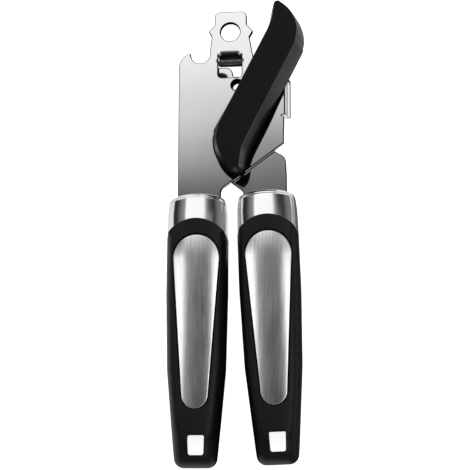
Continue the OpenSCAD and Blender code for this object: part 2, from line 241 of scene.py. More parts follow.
def is_inside(points: Array, loops: Sequence[Array]) -> Array:
    """Whether points lie between loops: an odd number of edges crosses the ray to their right.

    Args:
        points: Points to test, n by 2.
        loops: Closed loops.

    Returns:
        True or False for each point.
    """
    odd = np.zeros(len(points), bool)
    x, y = points[:, :1], points[:, 1:]
    for loop in loops:
        (xa, ya), (xb, yb) = loop.T, np.roll(loop, -1, 0).T
        crosses = (ya > y) != (yb > y)
        rise = np.where(np.abs(yb - ya) < TINY, TINY, yb - ya)
        odd ^= ((crosses & (x < xa + (y - ya) * (xb - xa) / rise)).sum(1) % 2).astype(bool)
    return odd


def distance_to(points: Array, line: Array, closed: bool = True) -> Array:
    """Shortest distance from points to a line: to the nearest point of each edge, then the least.

    Args:
        points: Points to measure from, n by 2.
        line: The line's points.
        closed: Whether the last point joins the first.

    Returns:
        One distance per point.
    """
    a = line if closed else line[:-1]
    b = np.roll(line, -1, 0) if closed else line[1:]
    along, size = b - a, np.maximum(((b - a) ** 2).sum(1), TINY)
    result = np.empty(len(points))
    batches = max(1, len(points) * len(a) // BATCH)
    for part in np.array_split(np.arange(len(points)), batches):
        ap = points[part][:, None] - a
        t = np.clip((ap * along).sum(-1) / size, 0, 1)
        result[part] = np.sqrt(((ap - t[..., None] * along) ** 2).sum(-1).min(1))
    return result


def regions(triangles: Array, fixed: Array, count: int) -> Array:
    """Numbers the groups of triangles that touch across edges which are not fixed.

    Every triangle starts with its own number and touching ones take the smaller of theirs,
    then the number of that number, until none changes.

    Args:
        triangles: Indices of points, n by 3.
        fixed: Edges that part the groups, as pairs of points.
        count: How many points there are.

    Returns:
        One number per triangle.
    """
    weigh = np.array([count, 1])
    key, owner = sides_of(triangles) @ weigh, np.tile(np.arange(len(triangles)), 3)
    order = np.argsort(key, kind="stable")
    key, owner = key[order], owner[order]
    touch = (key[1:] == key[:-1]) & ~np.isin(key[1:], np.sort(fixed, 1) @ weigh)
    a, b = owner[:-1][touch], owner[1:][touch]
    label, changed = np.arange(len(triangles)), True
    while changed:
        least, new = np.minimum(label[a], label[b]), label.copy()
        np.minimum.at(new, a, least)
        np.minimum.at(new, b, least)
        new = new[new]
        changed, label = bool((new != label).any()), new
    return label


def fill(loops: Sequence[Array], extra: Optional[Array] = None,
         guides: Sequence[Array] = ()) -> tuple[Array, Array]:
    """Triangles between closed loops, by constrained Delaunay triangulation.

    A group of triangles stays if the middle of its largest one is inside the outer loop and
    outside the others.

    Args:
        loops: Closed loops, n by 2 each.
        extra: Points that the triangles also use.
        guides: Closed loops whose edges are kept too, but which bound nothing.

    Returns:
        All the points in the order given, and triangles as indices into them.
    """
    rings = [*loops, *guides]
    starts = np.cumsum([0] + [len(ring) for ring in rings])
    edges = np.concatenate([
        np.stack([start + np.arange(len(ring)), start + (np.arange(len(ring)) + 1) % len(ring)], -1)
        for start, ring in zip(starts, rings)])
    points = np.concatenate([*rings] + ([extra] if extra is not None and len(extra) else []))
    _, _, faces, originals, _, _ = delaunay_2d_cdt(
        points.tolist(), edges.tolist(), [], 0, DELAUNAY_MERGE, True)
    back = np.array([o[0] if o else -1 for o in originals])
    triangles = back[np.array(faces)]
    triangles = triangles[(triangles >= 0).all(1)]
    label = regions(triangles, edges, len(points))
    a, b = (points[triangles[:, k]] - points[triangles[:, 0]] for k in (1, 2))
    area = np.abs(a[:, 0] * b[:, 1] - a[:, 1] * b[:, 0])
    by_size = np.argsort(area)
    largest = np.zeros(len(triangles), int)
    largest[label[by_size]] = by_size
    names, place = np.unique(label, return_inverse=True)
    largest = largest[names]
    inside = is_inside(points[triangles[largest]].mean(1), loops) & (area[largest] > SLIVER)
    return points, triangles[inside[place.reshape(-1)]]


def lattice(low: Sequence[float], high: Sequence[float], spacing: Sequence[float]) -> Array:
    """Grid points that fill a box, n by 2."""
    axes = [np.linspace(a, b, max(2, round((b - a) / gap) + 1))
            for a, b, gap in zip(low, high, spacing)]
    return np.stack(np.meshgrid(*axes), -1).reshape(-1, 2)


# ---- Meshes ---------------------------------------------------------------------------


def grid_faces(rows: int, columns: int, wrap: bool) -> Array:
    """Triangles of a grid of points whose rows may close on themselves."""
    spans = columns if wrap else columns - 1
    i, j = np.meshgrid(np.arange(rows - 1), np.arange(spans), indexing="ij")
    k = (j + 1) % columns
    a, b, c, d = i * columns + j, i * columns + k, (i + 1) * columns + k, (i + 1) * columns + j
    return np.concatenate([np.stack(half, -1).reshape(-1, 3) for half in ([a, b, c], [a, c, d])])


def linked(name: str, data: Any) -> bpy.types.Object:
    """A new object with the given data, linked to the scene."""
    obj = bpy.data.objects.new(name, data)
    bpy.context.scene.collection.objects.link(obj)
    return obj


@dataclass
class Surface:
    """A closed mesh put together from patches.

    Each patch has points, triangles and either exact normals or a rough outward direction
    with the name of the group that it is smoothed with.
    """

    points: list[Array] = field(default_factory=list)
    corners: list[Array] = field(default_factory=list)
    facing: list[Array] = field(default_factory=list)
    exact: list[Array] = field(default_factory=list)
    groups: list[Array] = field(default_factory=list)
    shades: list[Array] = field(default_factory=list)
    names: dict[str, int] = field(default_factory=dict)
    count: int = 0

    def add(self, points: Array, triangles: Array, facing: Array, group: str = "",
            exact: bool = False, shade: Union[float, Array] = 0.0) -> None:
        """Adds a patch.

        Args:
            points: Its points, n by 3.
            triangles: Indices into the points, m by 3.
            facing: Outward direction, one for all points or one each.
            group: Patches of one group are smoothed together; "" is a group of its own.
            exact: Whether facing holds the exact normals.
            shade: Painted shade on the finish, from 0 to 1, one for all points or one each.
        """
        name = group or f"patch {len(self.points)}"
        number = self.names.setdefault(name, len(self.names))
        self.points.append(points)
        self.corners.append(triangles + self.count)
        self.facing.append(np.broadcast_to(facing, points.shape))
        self.exact.append(np.full(len(triangles), exact))
        self.groups.append(np.full(len(triangles), number))
        self.shades.append(np.broadcast_to(shade, len(points)))
        self.count += len(points)

    def grid(self, points: Array, facing: Array, wrap: bool = True, group: str = "",
             exact: bool = False, shade: Union[float, Array] = 0.0) -> None:
        """Adds a patch given as rows of points.

        Args:
            points: Rows by columns by 3.
            facing: Roughly outward directions, or exact normals.
            wrap: Whether the last column joins the first.
            group: Patches of one group are smoothed together.
            exact: Whether the directions are used as the normals.
            shade: How much painted shade each point gets.
        """
        rows, columns = points.shape[:2]
        facing = np.broadcast_to(facing, points.shape).reshape(-1, 3)
        shade = np.broadcast_to(shade, (rows, columns)).reshape(-1)
        triangles = grid_faces(rows, columns, wrap)
        self.add(points.reshape(-1, 3), triangles, facing, group, exact, shade)

    def plane(self, loops: Sequence[Array], height: float, up: Array, exact: bool = False,
              shade: float = 0.0) -> None:
        """Fills loops with a level patch at a height, facing up or down."""
        flat, triangles = fill(loops)
        self.add(raised(flat, height), triangles, up, exact=exact, shade=shade)

    def joined(self) -> tuple[Array, Array, Array, Array]:
        """Merges equal points, turns triangles outwards and works out corner normals.

        A smoothed normal is the sum of the area vectors of its group's triangles round a point.

        Returns:
            Points, triangles, one normal per triangle corner and one shade per point.
        """
        points, tri = np.concatenate(self.points), np.concatenate(self.corners)
        facing, exact = np.concatenate(self.facing), np.concatenate(self.exact)
        group = np.concatenate(self.groups)
        _, first, same = np.unique(np.round(points, MERGE_DECIMALS), axis=0,
                                   return_index=True, return_inverse=True)
        merged = same.reshape(-1)[tri]
        area = np.cross(*(points[tri[:, k]] - points[tri[:, 0]] for k in (1, 2)))
        real = (merged != np.roll(merged, -1, 1)).all(1)
        inward = (area * facing[tri].sum(1)).sum(1) < 0
        tri[inward], merged[inward] = tri[inward, ::-1], merged[inward, ::-1]
        area[inward] = -area[inward]
        tri, merged, area, exact, group = (a[real] for a in (tri, merged, area, exact, group))
        key = group[:, None] * len(first) + merged
        unique, place = np.unique(key.reshape(-1), return_inverse=True)
        total = np.zeros((len(unique), 3))
        np.add.at(total, place.reshape(-1), np.repeat(area, 3, 0))
        normals = unit(total)[place.reshape(-1)].reshape(-1, 3, 3)
        normals[exact] = unit(facing[tri[exact]])
        shade = np.zeros(len(first))
        np.maximum.at(shade, same.reshape(-1), np.concatenate(self.shades))
        return points[first], merged, normals, shade

    def build(self, name: str) -> bpy.types.Object:
        """Makes the mesh object, in metres, links it to the scene and logs it.

        Args:
            name: The object's name and the mesh's.

        Returns:
            The object, at the origin.
        """
        points, tri, normals, shade = self.joined()
        used, tri = np.unique(tri.reshape(-1), return_inverse=True)
        tri = tri.reshape(-1, 3)
        mesh = bpy.data.meshes.new(name)
        mesh.vertices.add(len(used))
        mesh.vertices.foreach_set("co", (points[used] * MM).ravel())
        mesh.loops.add(tri.size)
        mesh.loops.foreach_set("vertex_index", tri.ravel())
        mesh.polygons.add(len(tri))
        mesh.polygons.foreach_set("loop_start", np.arange(len(tri)) * 3)
        mesh.polygons.foreach_set("use_smooth", np.ones(len(tri), bool))
        mesh.update(calc_edges=True)
        mesh.normals_split_custom_set(normals.reshape(-1, 3).tolist())
        # Each point's painted shade, read by the materials
        darkness = mesh.attributes.new("shade", "FLOAT", "POINT")
        darkness.data.foreach_set("value", shade[used].astype(np.float32))
        _, uses = np.unique(sides_of(tri), axis=0, return_counts=True)
        log.info("%s: %d triangles, %d open edges", name, len(tri), int((uses != 2).sum()))
        return linked(name, mesh)

    def place(self, root: Sequence[float], lean: float, flip: bool = False) -> "Surface":
        """Moves all patches from a handle's own frame to the tool's frame.

        Args:
            root: Where the handle's frame has its origin.
            lean: Turn of the handle's axis, in degrees.
            flip: Whether the front is mirrored to the back first.

        Returns:
            The surface itself.
        """
        c, s = math.cos(math.radians(lean)), math.sin(math.radians(lean))
        turn = np.array([[c, s, 0], [-s, c, 0], [0, 0, 1.0]])
        mirror = np.array([1, 1, -1.0]) if flip else np.ones(3)
        base = np.array([root[0], root[1], GRIP_T if flip else 0.0])
        self.points = [(p * mirror) @ turn + base for p in self.points]
        self.facing = [(f * mirror) @ turn for f in self.facing]
        return self


def lathe(centre: Sequence[float], profile: Array, dark_r: float, steps: int = 96) -> Surface:
    """A turned shape: a closed profile of (radius, height) carried round an upright axis.

    Args:
        centre: The axis.
        profile: The profile's points, anticlockwise, n by 2.
        dark_r: Radius up to which the surface gets painted shade.
        steps: Points round the axis.

    Returns:
        The shape, smooth but for sharp corners of the profile.
    """
    a = np.linspace(0, 2 * math.pi, steps, endpoint=False)
    ring = np.stack([np.cos(a), np.sin(a)], -1)

    def around(values: Array) -> Array:
        """Values given as (radial, upright) turned to every angle."""
        flat = values[:, None, :1] * ring
        upright = np.broadcast_to(values[:, None, 1:], (*flat.shape[:2], 1))
        return np.concatenate([flat, upright], -1)

    body = around(profile) + np.array([centre[0], centre[1], 0.0])
    normals = around(-unit(left_normals(profile)))
    edge = unit(np.roll(profile, -1, 0) - profile)
    crease = (edge * np.roll(edge, 1, 0)).sum(1) < CREASE_COSINE
    cuts = np.flatnonzero(crease) if crease.any() else np.array([0])
    body, normals = np.roll(body, -cuts[0], 0), np.roll(normals, -cuts[0], 0)
    cuts = [*(cuts - cuts[0]), len(profile)]
    body, normals = closed_up(body), closed_up(normals)
    surface = Surface()
    for start, end in zip(cuts[:-1], cuts[1:]):
        part = body[start:end + 1]
        radius = np.hypot(part[..., 0] - centre[0], part[..., 1] - centre[1])
        # Painted shade inside the dark radius, such as a bore
        surface.grid(part, normals[start:end + 1], shade=(radius < dark_r) * 1.0)
    return surface


SheetShape = Callable[[Array, Array], Array]


@dataclass
class Sheet:
    """A stamped sheet: flat loops with material on their left, and a map that bends them.

    The map takes plane points and a depth from 0, the front face, to 1, the rear face.
    """

    loops: list[Array]
    shape: SheetShape
    thickness: float = PLATE_T
    edge_r: float = 0.42
    extra: Optional[Array] = None
    arc_steps: int = 4
    # Painted shade: rims in full, walls in full in the dark loops, else by a level, more facing
    # right
    # line scales that painted shade per loop point; the last field paints shade on the faces
    dark: Sequence[int] = ()
    wall: float = 0.2
    right_wall_shade: float = 0.7
    lead: float = 0.03
    step: float = 0.02
    wall_depths: tuple[float, float] = (0.05, 0.62)
    line: Callable[[Array], Array] = lambda loop: np.full(len(loop), 0.95)
    painted_shade: Callable[[Array], Array] = lambda flat: np.zeros(len(flat))

    def normal(self, flat: Array, depth: Array) -> Array:
        """Front normals: the cross product of the map's slopes along X and Y."""
        slopes = [self.shape(flat + d, depth) - self.shape(flat - d, depth)
                  for d in np.eye(2) * self.step]
        return unit(np.cross(*slopes))

    def surface(self) -> Surface:
        """Both faces and every rounded rim.

        A rim starts one edge radius inside its loop, follows a quarter circle to the loop,
        goes through the thickness and comes back the same way on the rear.  Rims are darkened
        with painted shade; walls are too, fully in the dark loops and more where they face right.

        Returns:
            The sheet.
        """
        surface = Surface()
        start = self.edge_r + self.lead
        points, triangles = fill([offset(loop, start) for loop in self.loops], self.extra)
        for depth in (0.0, 1.0):
            level = np.full(len(points), depth)
            up = self.normal(points, level) * (1 - 2 * depth)
            surface.add(self.shape(points, level), triangles, up, exact=True,
                        shade=self.painted_shade(points))
        a = np.linspace(0, math.pi / 2, self.arc_steps + 1)
        inset = self.edge_r * (1 - np.sin(a))
        sunk = self.edge_r * (1 - np.cos(a)) / self.thickness
        near, middle = self.wall_depths
        inset = np.concatenate([[start], inset, [0, 0], inset[::-1], [start]])
        depth = np.concatenate([[0], sunk, [sunk[-1] + near, middle], 1 - sunk[::-1], [1]])
        lift = np.concatenate([[1], np.cos(a), [0, 0], -np.cos(a[::-1]), [-1]])
        side = np.concatenate([[0], np.sin(a), [1, 1], np.sin(a[::-1]), [0]])
        for k, loop in enumerate(self.loops):
            toward = left_normals(loop)
            right_side = smooth((-unit(toward)[:, 0] - 0.7) / 0.2)
            # Painted shade on the rim and wall stations, none at the two flat ends
            shade = np.ones((len(inset), len(loop)))
            shade[[0, -1]] = 0
            if k not in self.dark:
                shade[len(a) + 1:len(a) + 3] = self.wall + self.right_wall_shade * right_side
            flat = (loop + toward * inset[:, None, None]).reshape(-1, 2)
            level = np.repeat(depth, len(loop))
            out = np.tile(-unit(toward), (len(inset), 1)) * self.step
            edge = self.shape(flat + out, level) - self.shape(flat - out, level)
            up = self.normal(flat, level)
            edge = unit(edge - up * (edge * up).sum(1, keepdims=True))
            sideways, upward = (np.repeat(part, len(loop))[:, None] for part in (side, lift))
            rows = self.shape(flat, level).reshape(len(inset), len(loop), 3)
            surface.grid(rows, (edge * sideways + up * upward).reshape(rows.shape), exact=True,
                         shade=shade * self.line(loop))
        return surface


def flat_sheet(top: float, thickness: float = PLATE_T) -> SheetShape:
    """The map of a flat sheet: X and Y stay, and depth runs down from the top."""
    return lambda flat, depth: raised(flat, top - thickness * depth)


# ---- Shader graphs --------------------------------------------------------------------

Value = Union["Wire", float, int, Sequence[float]]


class Graph:
    """A node tree under construction."""

    def __init__(self, tree: bpy.types.NodeTree) -> None:
        """Empties the tree."""
        self.tree = tree
        tree.nodes.clear()

    def node(self, kind: str, settings: Optional[dict[str, Any]] = None,
             inputs: Optional[dict[Union[str, int], Value]] = None,
             output: Union[str, int] = 0) -> "Wire":
        """Adds a node.

        Args:
            kind: Blender's name of the node type.
            settings: Its properties, which are set before its sockets; "stops" are a ramp's.
            inputs: Values or wires for its sockets, by name or number.
            output: Which output the result stands for.

        Returns:
            The chosen output as a wire.
        """
        made = self.tree.nodes.new(kind)
        for key, value in (settings or {}).items():
            if key == "stops":
                steps = made.color_ramp.elements
                steps[0].position, steps[1].position = value[0][0], value[-1][0]
                for place, level in value[1:-1]:
                    steps.new(place)
                for step, (_, level) in zip(steps, value):
                    step.color = (level, level, level, 1)
            else:
                setattr(made, key, value)
        for key, value in (inputs or {}).items():
            socket = made.inputs[key]
            if isinstance(value, Wire):
                self.tree.links.new(value.socket, socket)
            else:
                socket.default_value = value
        return Wire(self, made.outputs[output] if made.outputs else None)

    def maths(self, operation: str, *values: Value) -> "Wire":
        """Adds a Math node on up to three values."""
        return self.node("ShaderNodeMath", {"operation": operation}, dict(enumerate(values)))

    def between(self, value: "Wire", low: float, high: float, edge: float) -> "Wire":
        """One between two limits of a value, falling smoothly to 0 over an edge outside them."""
        return self.step(value, low - edge, low) * (1 - self.step(value, high, high + edge))

    def step(self, value: "Wire", low: float, high: float) -> "Wire":
        """Smooth step from 0 at low to 1 at high."""
        return self.node("ShaderNodeMapRange", {"interpolation_type": "SMOOTHSTEP"},
                         {"Value": value, "From Min": low, "From Max": high})

    def ramp(self, value: "Wire", stops: Sequence[tuple[float, float]]) -> "Wire":
        """A level that runs straight between (place, level) stops, from first to last place."""
        low, span = stops[0][0], stops[-1][0] - stops[0][0]
        return self.node("ShaderNodeValToRGB",
                         {"stops": [((at - low) / span, level) for at, level in stops]},
                         {"Fac": (value - low) * (1 / span)})

    def highest(self, value: "Wire", *others: Value) -> "Wire":
        """The greatest of several values."""
        for other in others:
            value = self.maths("MAXIMUM", value, other)
        return value

    def noise(self, cells: float, stretch: Sequence[float], detail: float,
              turn: float) -> "Wire":
        """Adds a noise on Object coordinates.

        Args:
            cells: Its cells per metre.
            stretch: Shares to which the cells shrink along the axes.
            detail: Its octaves.
            turn: Its turn about the upright axis, in degrees.

        Returns:
            Its value, from 0 to 1.
        """
        where = self.node("ShaderNodeTexCoord", output="Object")
        mapped = self.node("ShaderNodeMapping", {"vector_type": "TEXTURE"}, {
            "Vector": where, "Rotation": (0, 0, math.radians(turn)),
            "Scale": tuple(1 / k for k in stretch)})
        return self.node("ShaderNodeTexNoise", {},
                         {"Vector": mapped, "Scale": cells, "Detail": detail})

    def tint(self, level: "Wire", colour: Sequence[float]) -> "Wire":
        """A colour times a level, through Vector Math."""
        grey = self.node("ShaderNodeCombineXYZ", {}, dict.fromkeys(range(3), level))
        return self.node("ShaderNodeVectorMath", {"operation": "MULTIPLY"},
                         {0: grey, 1: tuple(colour)})


@dataclass(frozen=True)
class Wire:
    """An output socket that does arithmetic by adding Math nodes."""

    graph: Graph
    socket: Any

    def __add__(self, other: Value) -> "Wire":
        """Sum."""
        return self.graph.maths("ADD", self, other)

    __radd__ = __add__

    def __mul__(self, other: Value) -> "Wire":
        """Product."""
        return self.graph.maths("MULTIPLY", self, other)

    __rmul__ = __mul__

    def __sub__(self, other: Value) -> "Wire":
        """Difference."""
        return self.graph.maths("SUBTRACT", self, other)

    def __rsub__(self, other: Value) -> "Wire":
        """Reflected difference."""
        return self.graph.maths("SUBTRACT", other, self)


@dataclass(frozen=True)
class Noise:
    """One noise in a finish, and how much of it reaches the colour and the roughness."""

    cells: float
    stretch: tuple[float, float, float]
    detail: float
    level: float
    rough: float


class Grain(Enum):
    """How a surface is textured: its plain level, its depth in metres and its noises.

    The first noise is also the height of the surface.
    """

    MIRROR = (0.97, 2e-6, (Noise(120, (1, 1, 1), 2, 0.06, 0.03),))
    ROLLED = (0.965, 3e-7, (Noise(900, (1, 0.5, 1), 3, 0.02, 0),
                            Noise(35, (1, 1, 1), 2, 0.05, 0.02)))
    BRUSHED = (0.58, 4e-7, (Noise(1000, (1, 0.05, 0.05), 2, 0.5, 0),
                            Noise(170, (1, 0.3, 0.3), 3, 0.36, 0.1)))
    MOULDED = (0.8, 1.2e-5, (Noise(2600, (1, 1, 1), 3, 0.4, 0.12),
                             Noise(90, (1, 1, 1), 2, 0, 0.1)))
    GROUND = (0.85, 1e-5, (Noise(1500, (1, 1, 0.2), 3, 0.3, 0.2),))


# Near-black that painted shade mixes in
SHADE_BLACK = (0.006, 0.006, 0.006, 1)
SHADE_ROUGHNESS = 0.4


@dataclass(frozen=True)
class Finish:
    """A material: its colour, gloss and the texture of its surface."""

    name: str
    colour: tuple[float, float, float]
    roughness: float
    metallic: float
    grain: Grain
    specular: float = 0.5
    lean: float = 0.0

    def textures(self, graph: Graph) -> tuple[Wire, Wire, Wire]:
        """Adds the grain's noises.

        The colour's level is the plain level plus each noise times its share, and the
        roughness is the finish's own plus each noise, less a half, times its share.

        Args:
            graph: The material's node tree.

        Returns:
            The level that multiplies the colour, the roughness, and the height.
        """
        plain, _, noises = self.grain.value
        level, roughness, heights = plain, self.roughness, []
        for noise in noises:
            wave = graph.noise(noise.cells, noise.stretch, noise.detail, 0.0 - self.lean)
            level = level + noise.level * wave if noise.level else level
            roughness = roughness + noise.rough * (wave - 0.5) if noise.rough else roughness
            heights.append(wave)
        return level, roughness, heights[0]

    def material(self) -> bpy.types.Material:
        """Makes the material, or finds it if it is there already.

        The shade attribute is painted shade: it darkens the colour, roughens the surface and
        mixes in a near-black.

        Returns:
            The material.
        """
        if self.name in bpy.data.materials:
            return bpy.data.materials[self.name]
        made = bpy.data.materials.new(self.name)
        made.use_nodes = True
        graph = Graph(made.node_tree)
        level, roughness, height = self.textures(graph)
        shade = graph.node("ShaderNodeAttribute", {"attribute_name": "shade"}, {}, "Fac")
        bump = graph.node("ShaderNodeBump", {}, {
            "Height": height, "Distance": self.grain.value[1], "Strength": 1.0})
        shader = graph.node("ShaderNodeBsdfPrincipled", {}, {
            "Base Color": graph.tint(level * (1 - shade), self.colour),
            "Roughness": roughness + SHADE_ROUGHNESS * shade, "Metallic": self.metallic,
            "Specular IOR Level": self.specular, "Normal": bump})
        shade_black = graph.node("ShaderNodeBsdfDiffuse", {}, {"Color": SHADE_BLACK})
        mixed = graph.node("ShaderNodeMixShader", {}, {0: shade, 1: shader, 2: shade_black})
        graph.node("ShaderNodeOutputMaterial", {}, {"Surface": mixed})
        return made

    def put_on(self, obj: bpy.types.Object) -> None:
        """Makes this finish the object's only material."""
        obj.data.materials.clear()
        obj.data.materials.append(self.material())


POLISHED = Finish("polished_sheet", (0.84, 0.845, 0.85), 0.06, 1.0, Grain.ROLLED)
CHROME = Finish("collar_chrome", (0.9, 0.9, 0.905), 0.035, 1.0, Grain.MIRROR)
GRIP = Finish("grip_satin_black", (0.003, 0.003, 0.003), 0.42, 0.0, Grain.MOULDED, 0.26)
KEY = Finish("key_satin_black", (0.003, 0.003, 0.003), 0.38, 0.0, Grain.MOULDED, 0.15)
CORE = Finish("core_nylon", (0.02, 0.02, 0.022), 0.55, 0.0, Grain.MOULDED, 0.4)
TOOL_STEEL = Finish("hardened_steel", (0.56, 0.565, 0.57), 0.25, 1.0, Grain.GROUND)
BRONZE = Finish("sintered_bronze", (0.62, 0.45, 0.25), 0.42, 1.0, Grain.GROUND)


class Slot(Enum):
    """The record's material slots, with the finish each one gets."""

    PLATE = ("plate_steel", POLISHED)
    COLLAR = ("collar_chrome", CHROME)
    INLAY = ("inlay_steel", None)
    GRIP = ("grip_plastic", GRIP)
    KEY = ("key_plastic", KEY)
    CORE = ("core_plastic", CORE)
    TOOL = ("tool_steel", TOOL_STEEL)


def fit(obj: bpy.types.Object, body: str, slot: Slot, nodes: Sequence[str],
        finish: Optional[Finish] = None) -> None:
    """Gives a new piece its finish, its body and the CAD nodes that it stands for.

    Args:
        obj: The piece, already in place.
        body: The CAD body that it moves with.
        slot: The record's material slot.
        nodes: The CAD nodes that it replaces.
        finish: A finish other than the slot's own.
    """
    (finish or slot.value[1]).put_on(obj)
    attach(obj, body)
    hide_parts(*nodes)


def keep(node: str, finish: Finish) -> None:
    """Gives a CAD node that stays as it is a better material."""
    finish.put_on(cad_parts[node])
    log.info("%s: CAD mesh kept", node)


# ---- Lever plates ---------------------------------------------------------------------


@dataclass
class FrontPlate:
    """The left lever's plate: tang, hook, bite, barbed tongue, guide flange and cap lifter.

    The fold's lines are [x, z, corner radius] and the lifter's [y, z, corner radius].
    """

    hang: tuple[float, float, float] = (-2.7, 95.1, 4.45)
    bite: tuple[float, float, float] = (-16.65, 84.8, 4.45)
    window: tuple[float, float, float] = (-8.35, 72.9, 2.65)
    eye_r: float = 2.72
    swing: float = 30.0
    swing_half: float = 4.0
    slit: float = 0.18
    slit_top: float = 84.2
    lifter_end: float = 79.9
    lifter_top: float = 88.0
    dish_r: float = 2.2
    dish_half: float = 6.4
    dish_top: float = 85.6
    crease_y: float = 83.15
    hollow_ys: tuple[float, float] = (80.2, 82.0)
    low_z: float = 9.35
    fold_x: float = 20.9
    # Place and width of the painted shade line along the flange's fold
    shade_line_x: float = 22.2
    shade_line_w: float = 0.26
    fold_ys: tuple[float, float] = (54.1, 72.5)
    fold_length: float = 7.9
    fold_front: tuple = ((20.9, 12, 0), (22.45, 12, 0.3), (23.4, 11.8, 0.2), (23.4, 6.9, 0.12),
                         (24.05, 6.75, 0.3), (25, 6.62, 0))
    fold_rear: tuple = ((20.9, 9.5, 0), (21.4, 9.5, 0.4), (21.4, 4.6, 1.5), (25, 4.6, 0))
    lifter_front: tuple = ((95, 12, 0), (85.3, 12, 7), (84.1, 11.75, 1.0), (83.0, 9.55, 0.3),
                           (82.6, 9.44, 0.25), (82.1, 8.8, 0.2), (81.7, 8.76, 0.25),
                           (80.5, 8.3, 0.4), (79.0, 8.3, 0))
    lifter_rear: tuple = ((95, 9.5, 0), (85.4, 9.5, 0.8), (83.6, 6.3, 2.0), (79.0, 6.2, 0))

    def outline(self) -> Array:
        """The flat blank's outline, with the flange unfolded, anticlockwise."""
        low, high = self.fold_ys
        side, end = self.fold_x + 0.05, self.fold_x + self.fold_length
        first = [[-23.86, -62, 2], [-11.86, -62, 2], [-11.62, -6, 2], [-7, -2, 2], [-7, 19.65, 3],
                 [21.85, 40.75, 0.8], [22.1, low - 0.6, 0.65], [side, low - 0.55, 0.25],
                 [side, low, 0.25], [end, low, 0.8], [end, high, 0.8], [side, high, 0.25],
                 [side, high + 0.55, 0.25], [22.4, high + 0.6, 0.65], [22.4, 76, 2.6],
                 [13, 78.6, 5], [8.4, 80.5, 3], [6.3, 92.4, 0.5], [8, 95.4, 0.7],
                 [5.05, 98.6, 0.8], [4.9, 105.2, 2.4], [-10, 105.2, 2.4], [-10, 98.7, 0.8],
                 [-12.9, 95.7, 0.7], [-11.4, 93, 0.5], [-12.25, 85.5, 0]]
        last = [[-21.15, 85.6, 0.55], [-26.7, 83.6, 7.3], [-26.7, -2, 2], [-23.62, -6, 2]]
        bite = arc(self.bite[:2], self.bite[2], 9, -168, 27)
        return rounded([*first, *raised(bite, 0.0).tolist(), *last])

    def window_loop(self) -> Array:
        """The U-shaped opening round the cap lifter, clockwise."""
        x0, y0, x1 = self.window
        top, s, tip = self.slit_top, self.slit, self.lifter_end
        return rounded([[x0, y0, 1.8], [x1, y0, 1.8], [x1, top, 0.14], [x1 - s, top, 0.14],
                        [x1 - s, tip, 0.7], [x0 + s, tip, 0.7], [x0 + s, top, 0.14],
                        [x0, top, 0.14]])[::-1]

    def swing_loop(self) -> Array:
        """The curved slot that lets the shaft swing about the pivot, clockwise."""
        to_shaft = SHAFT - PIVOT
        radius, half = float(np.linalg.norm(to_shaft)), self.swing_half
        start = math.degrees(math.atan2(to_shaft[1], to_shaft[0]))
        end = start + self.swing
        far = PIVOT + radius * np.array([math.cos(math.radians(end)), math.sin(math.radians(end))])
        return np.concatenate([arc(PIVOT, radius + half, start + 1, end - 1, 8),
                               arc(far, half, end, end + 180, 24),
                               arc(PIVOT, radius - half, end - 1, start + 1, 8),
                               arc(SHAFT, half, start + 180, start + 360, 24)])[::-1]

    def flange(self, x: Array, depth: Array) -> Array:
        """Bends the flange: the distance past the fold runs along a front and a rear line.

        Args:
            x: X of the blank's points.
            depth: Their depth, which blends the two lines.

        Returns:
            X and Z, n by 2.
        """
        share = (x - self.fold_x) / self.fold_length
        places = []
        for corners in (self.fold_front, self.fold_rear):
            line = rounded(corners, 10, False)
            run = run_along(line)
            run /= run[-1]
            places.append(np.stack([np.interp(share, run, part) for part in line.T], 1))
        mix = places[0] * (1 - depth[:, None]) + places[1] * depth[:, None]
        mix[:, 0] += np.maximum(share - 1, 0) * self.fold_length
        return mix

    def lifter(self, x: Array, y: Array, depth: Array) -> tuple[Array, Array]:
        """Bends the cap lifter: heights follow two profiles in Y, blended by depth.

        The place in Y is rounded at the top corners by the distance from each corner's
        centre, and bowed below them.  The low part is spread a little.

        Args:
            x: X of the blank's points.
            y: Their Y.
            depth: Their depth.

        Returns:
            X and Z.
        """
        x0, _, x1 = self.window
        middle = (x0 + x1) / 2
        beyond = np.maximum(np.maximum(x0 + self.dish_r - x, x - x1 + self.dish_r), 0)
        above = y - (self.slit_top - 0.2)
        bow = 0.3 * ((x - middle) / ((x1 - x0) / 2)) ** 2
        fade = np.clip(1 + above / 1.5, 0, 1)
        place = np.where(above > 0, y - above + np.hypot(beyond, np.maximum(above, 0)),
                         y + fade * beyond) + bow * smooth(-above)
        front, rear = (np.interp(place, *rounded(corners, 10, False)[::-1].T)
                       for corners in (self.lifter_front, self.lifter_rear))
        spread = 1 + 0.08 * smooth((self.low_z - front) / 0.5)
        return middle + (x - middle) * spread, front * (1 - depth) + rear * depth

    def shape(self, flat: Array, depth: Array) -> Array:
        """Bends the blank: the flange over its fold, the lifter down behind the plate.

        Args:
            flat: Plane points.
            depth: Depth of each, from 0 in front to 1 behind.

        Returns:
            The points in space.
        """
        x, y = flat.T
        p = raised(flat, FRONT_Z - PLATE_T * depth)
        low, high = self.fold_ys
        folded = (x > self.fold_x) & (y > low - 0.3) & (y < high + 0.3)
        p[folded, ::2] = self.flange(x, depth)[folded]
        x0, _, x1 = self.window
        inner = (x > x0 + self.slit * 0.5) & (x < x1 - self.slit * 0.5)
        dip = (x > x0 - 0.25) & (x < x1 + 0.25)
        dip &= (y > self.lifter_end - 0.3) & (y < self.lifter_top)
        dip &= (y > self.slit_top - 0.4) | inner
        across, height = self.lifter(x, y, depth)
        p[dip, 2] = height[dip]
        p[dip & inner, 0] = across[dip & inner]
        return p

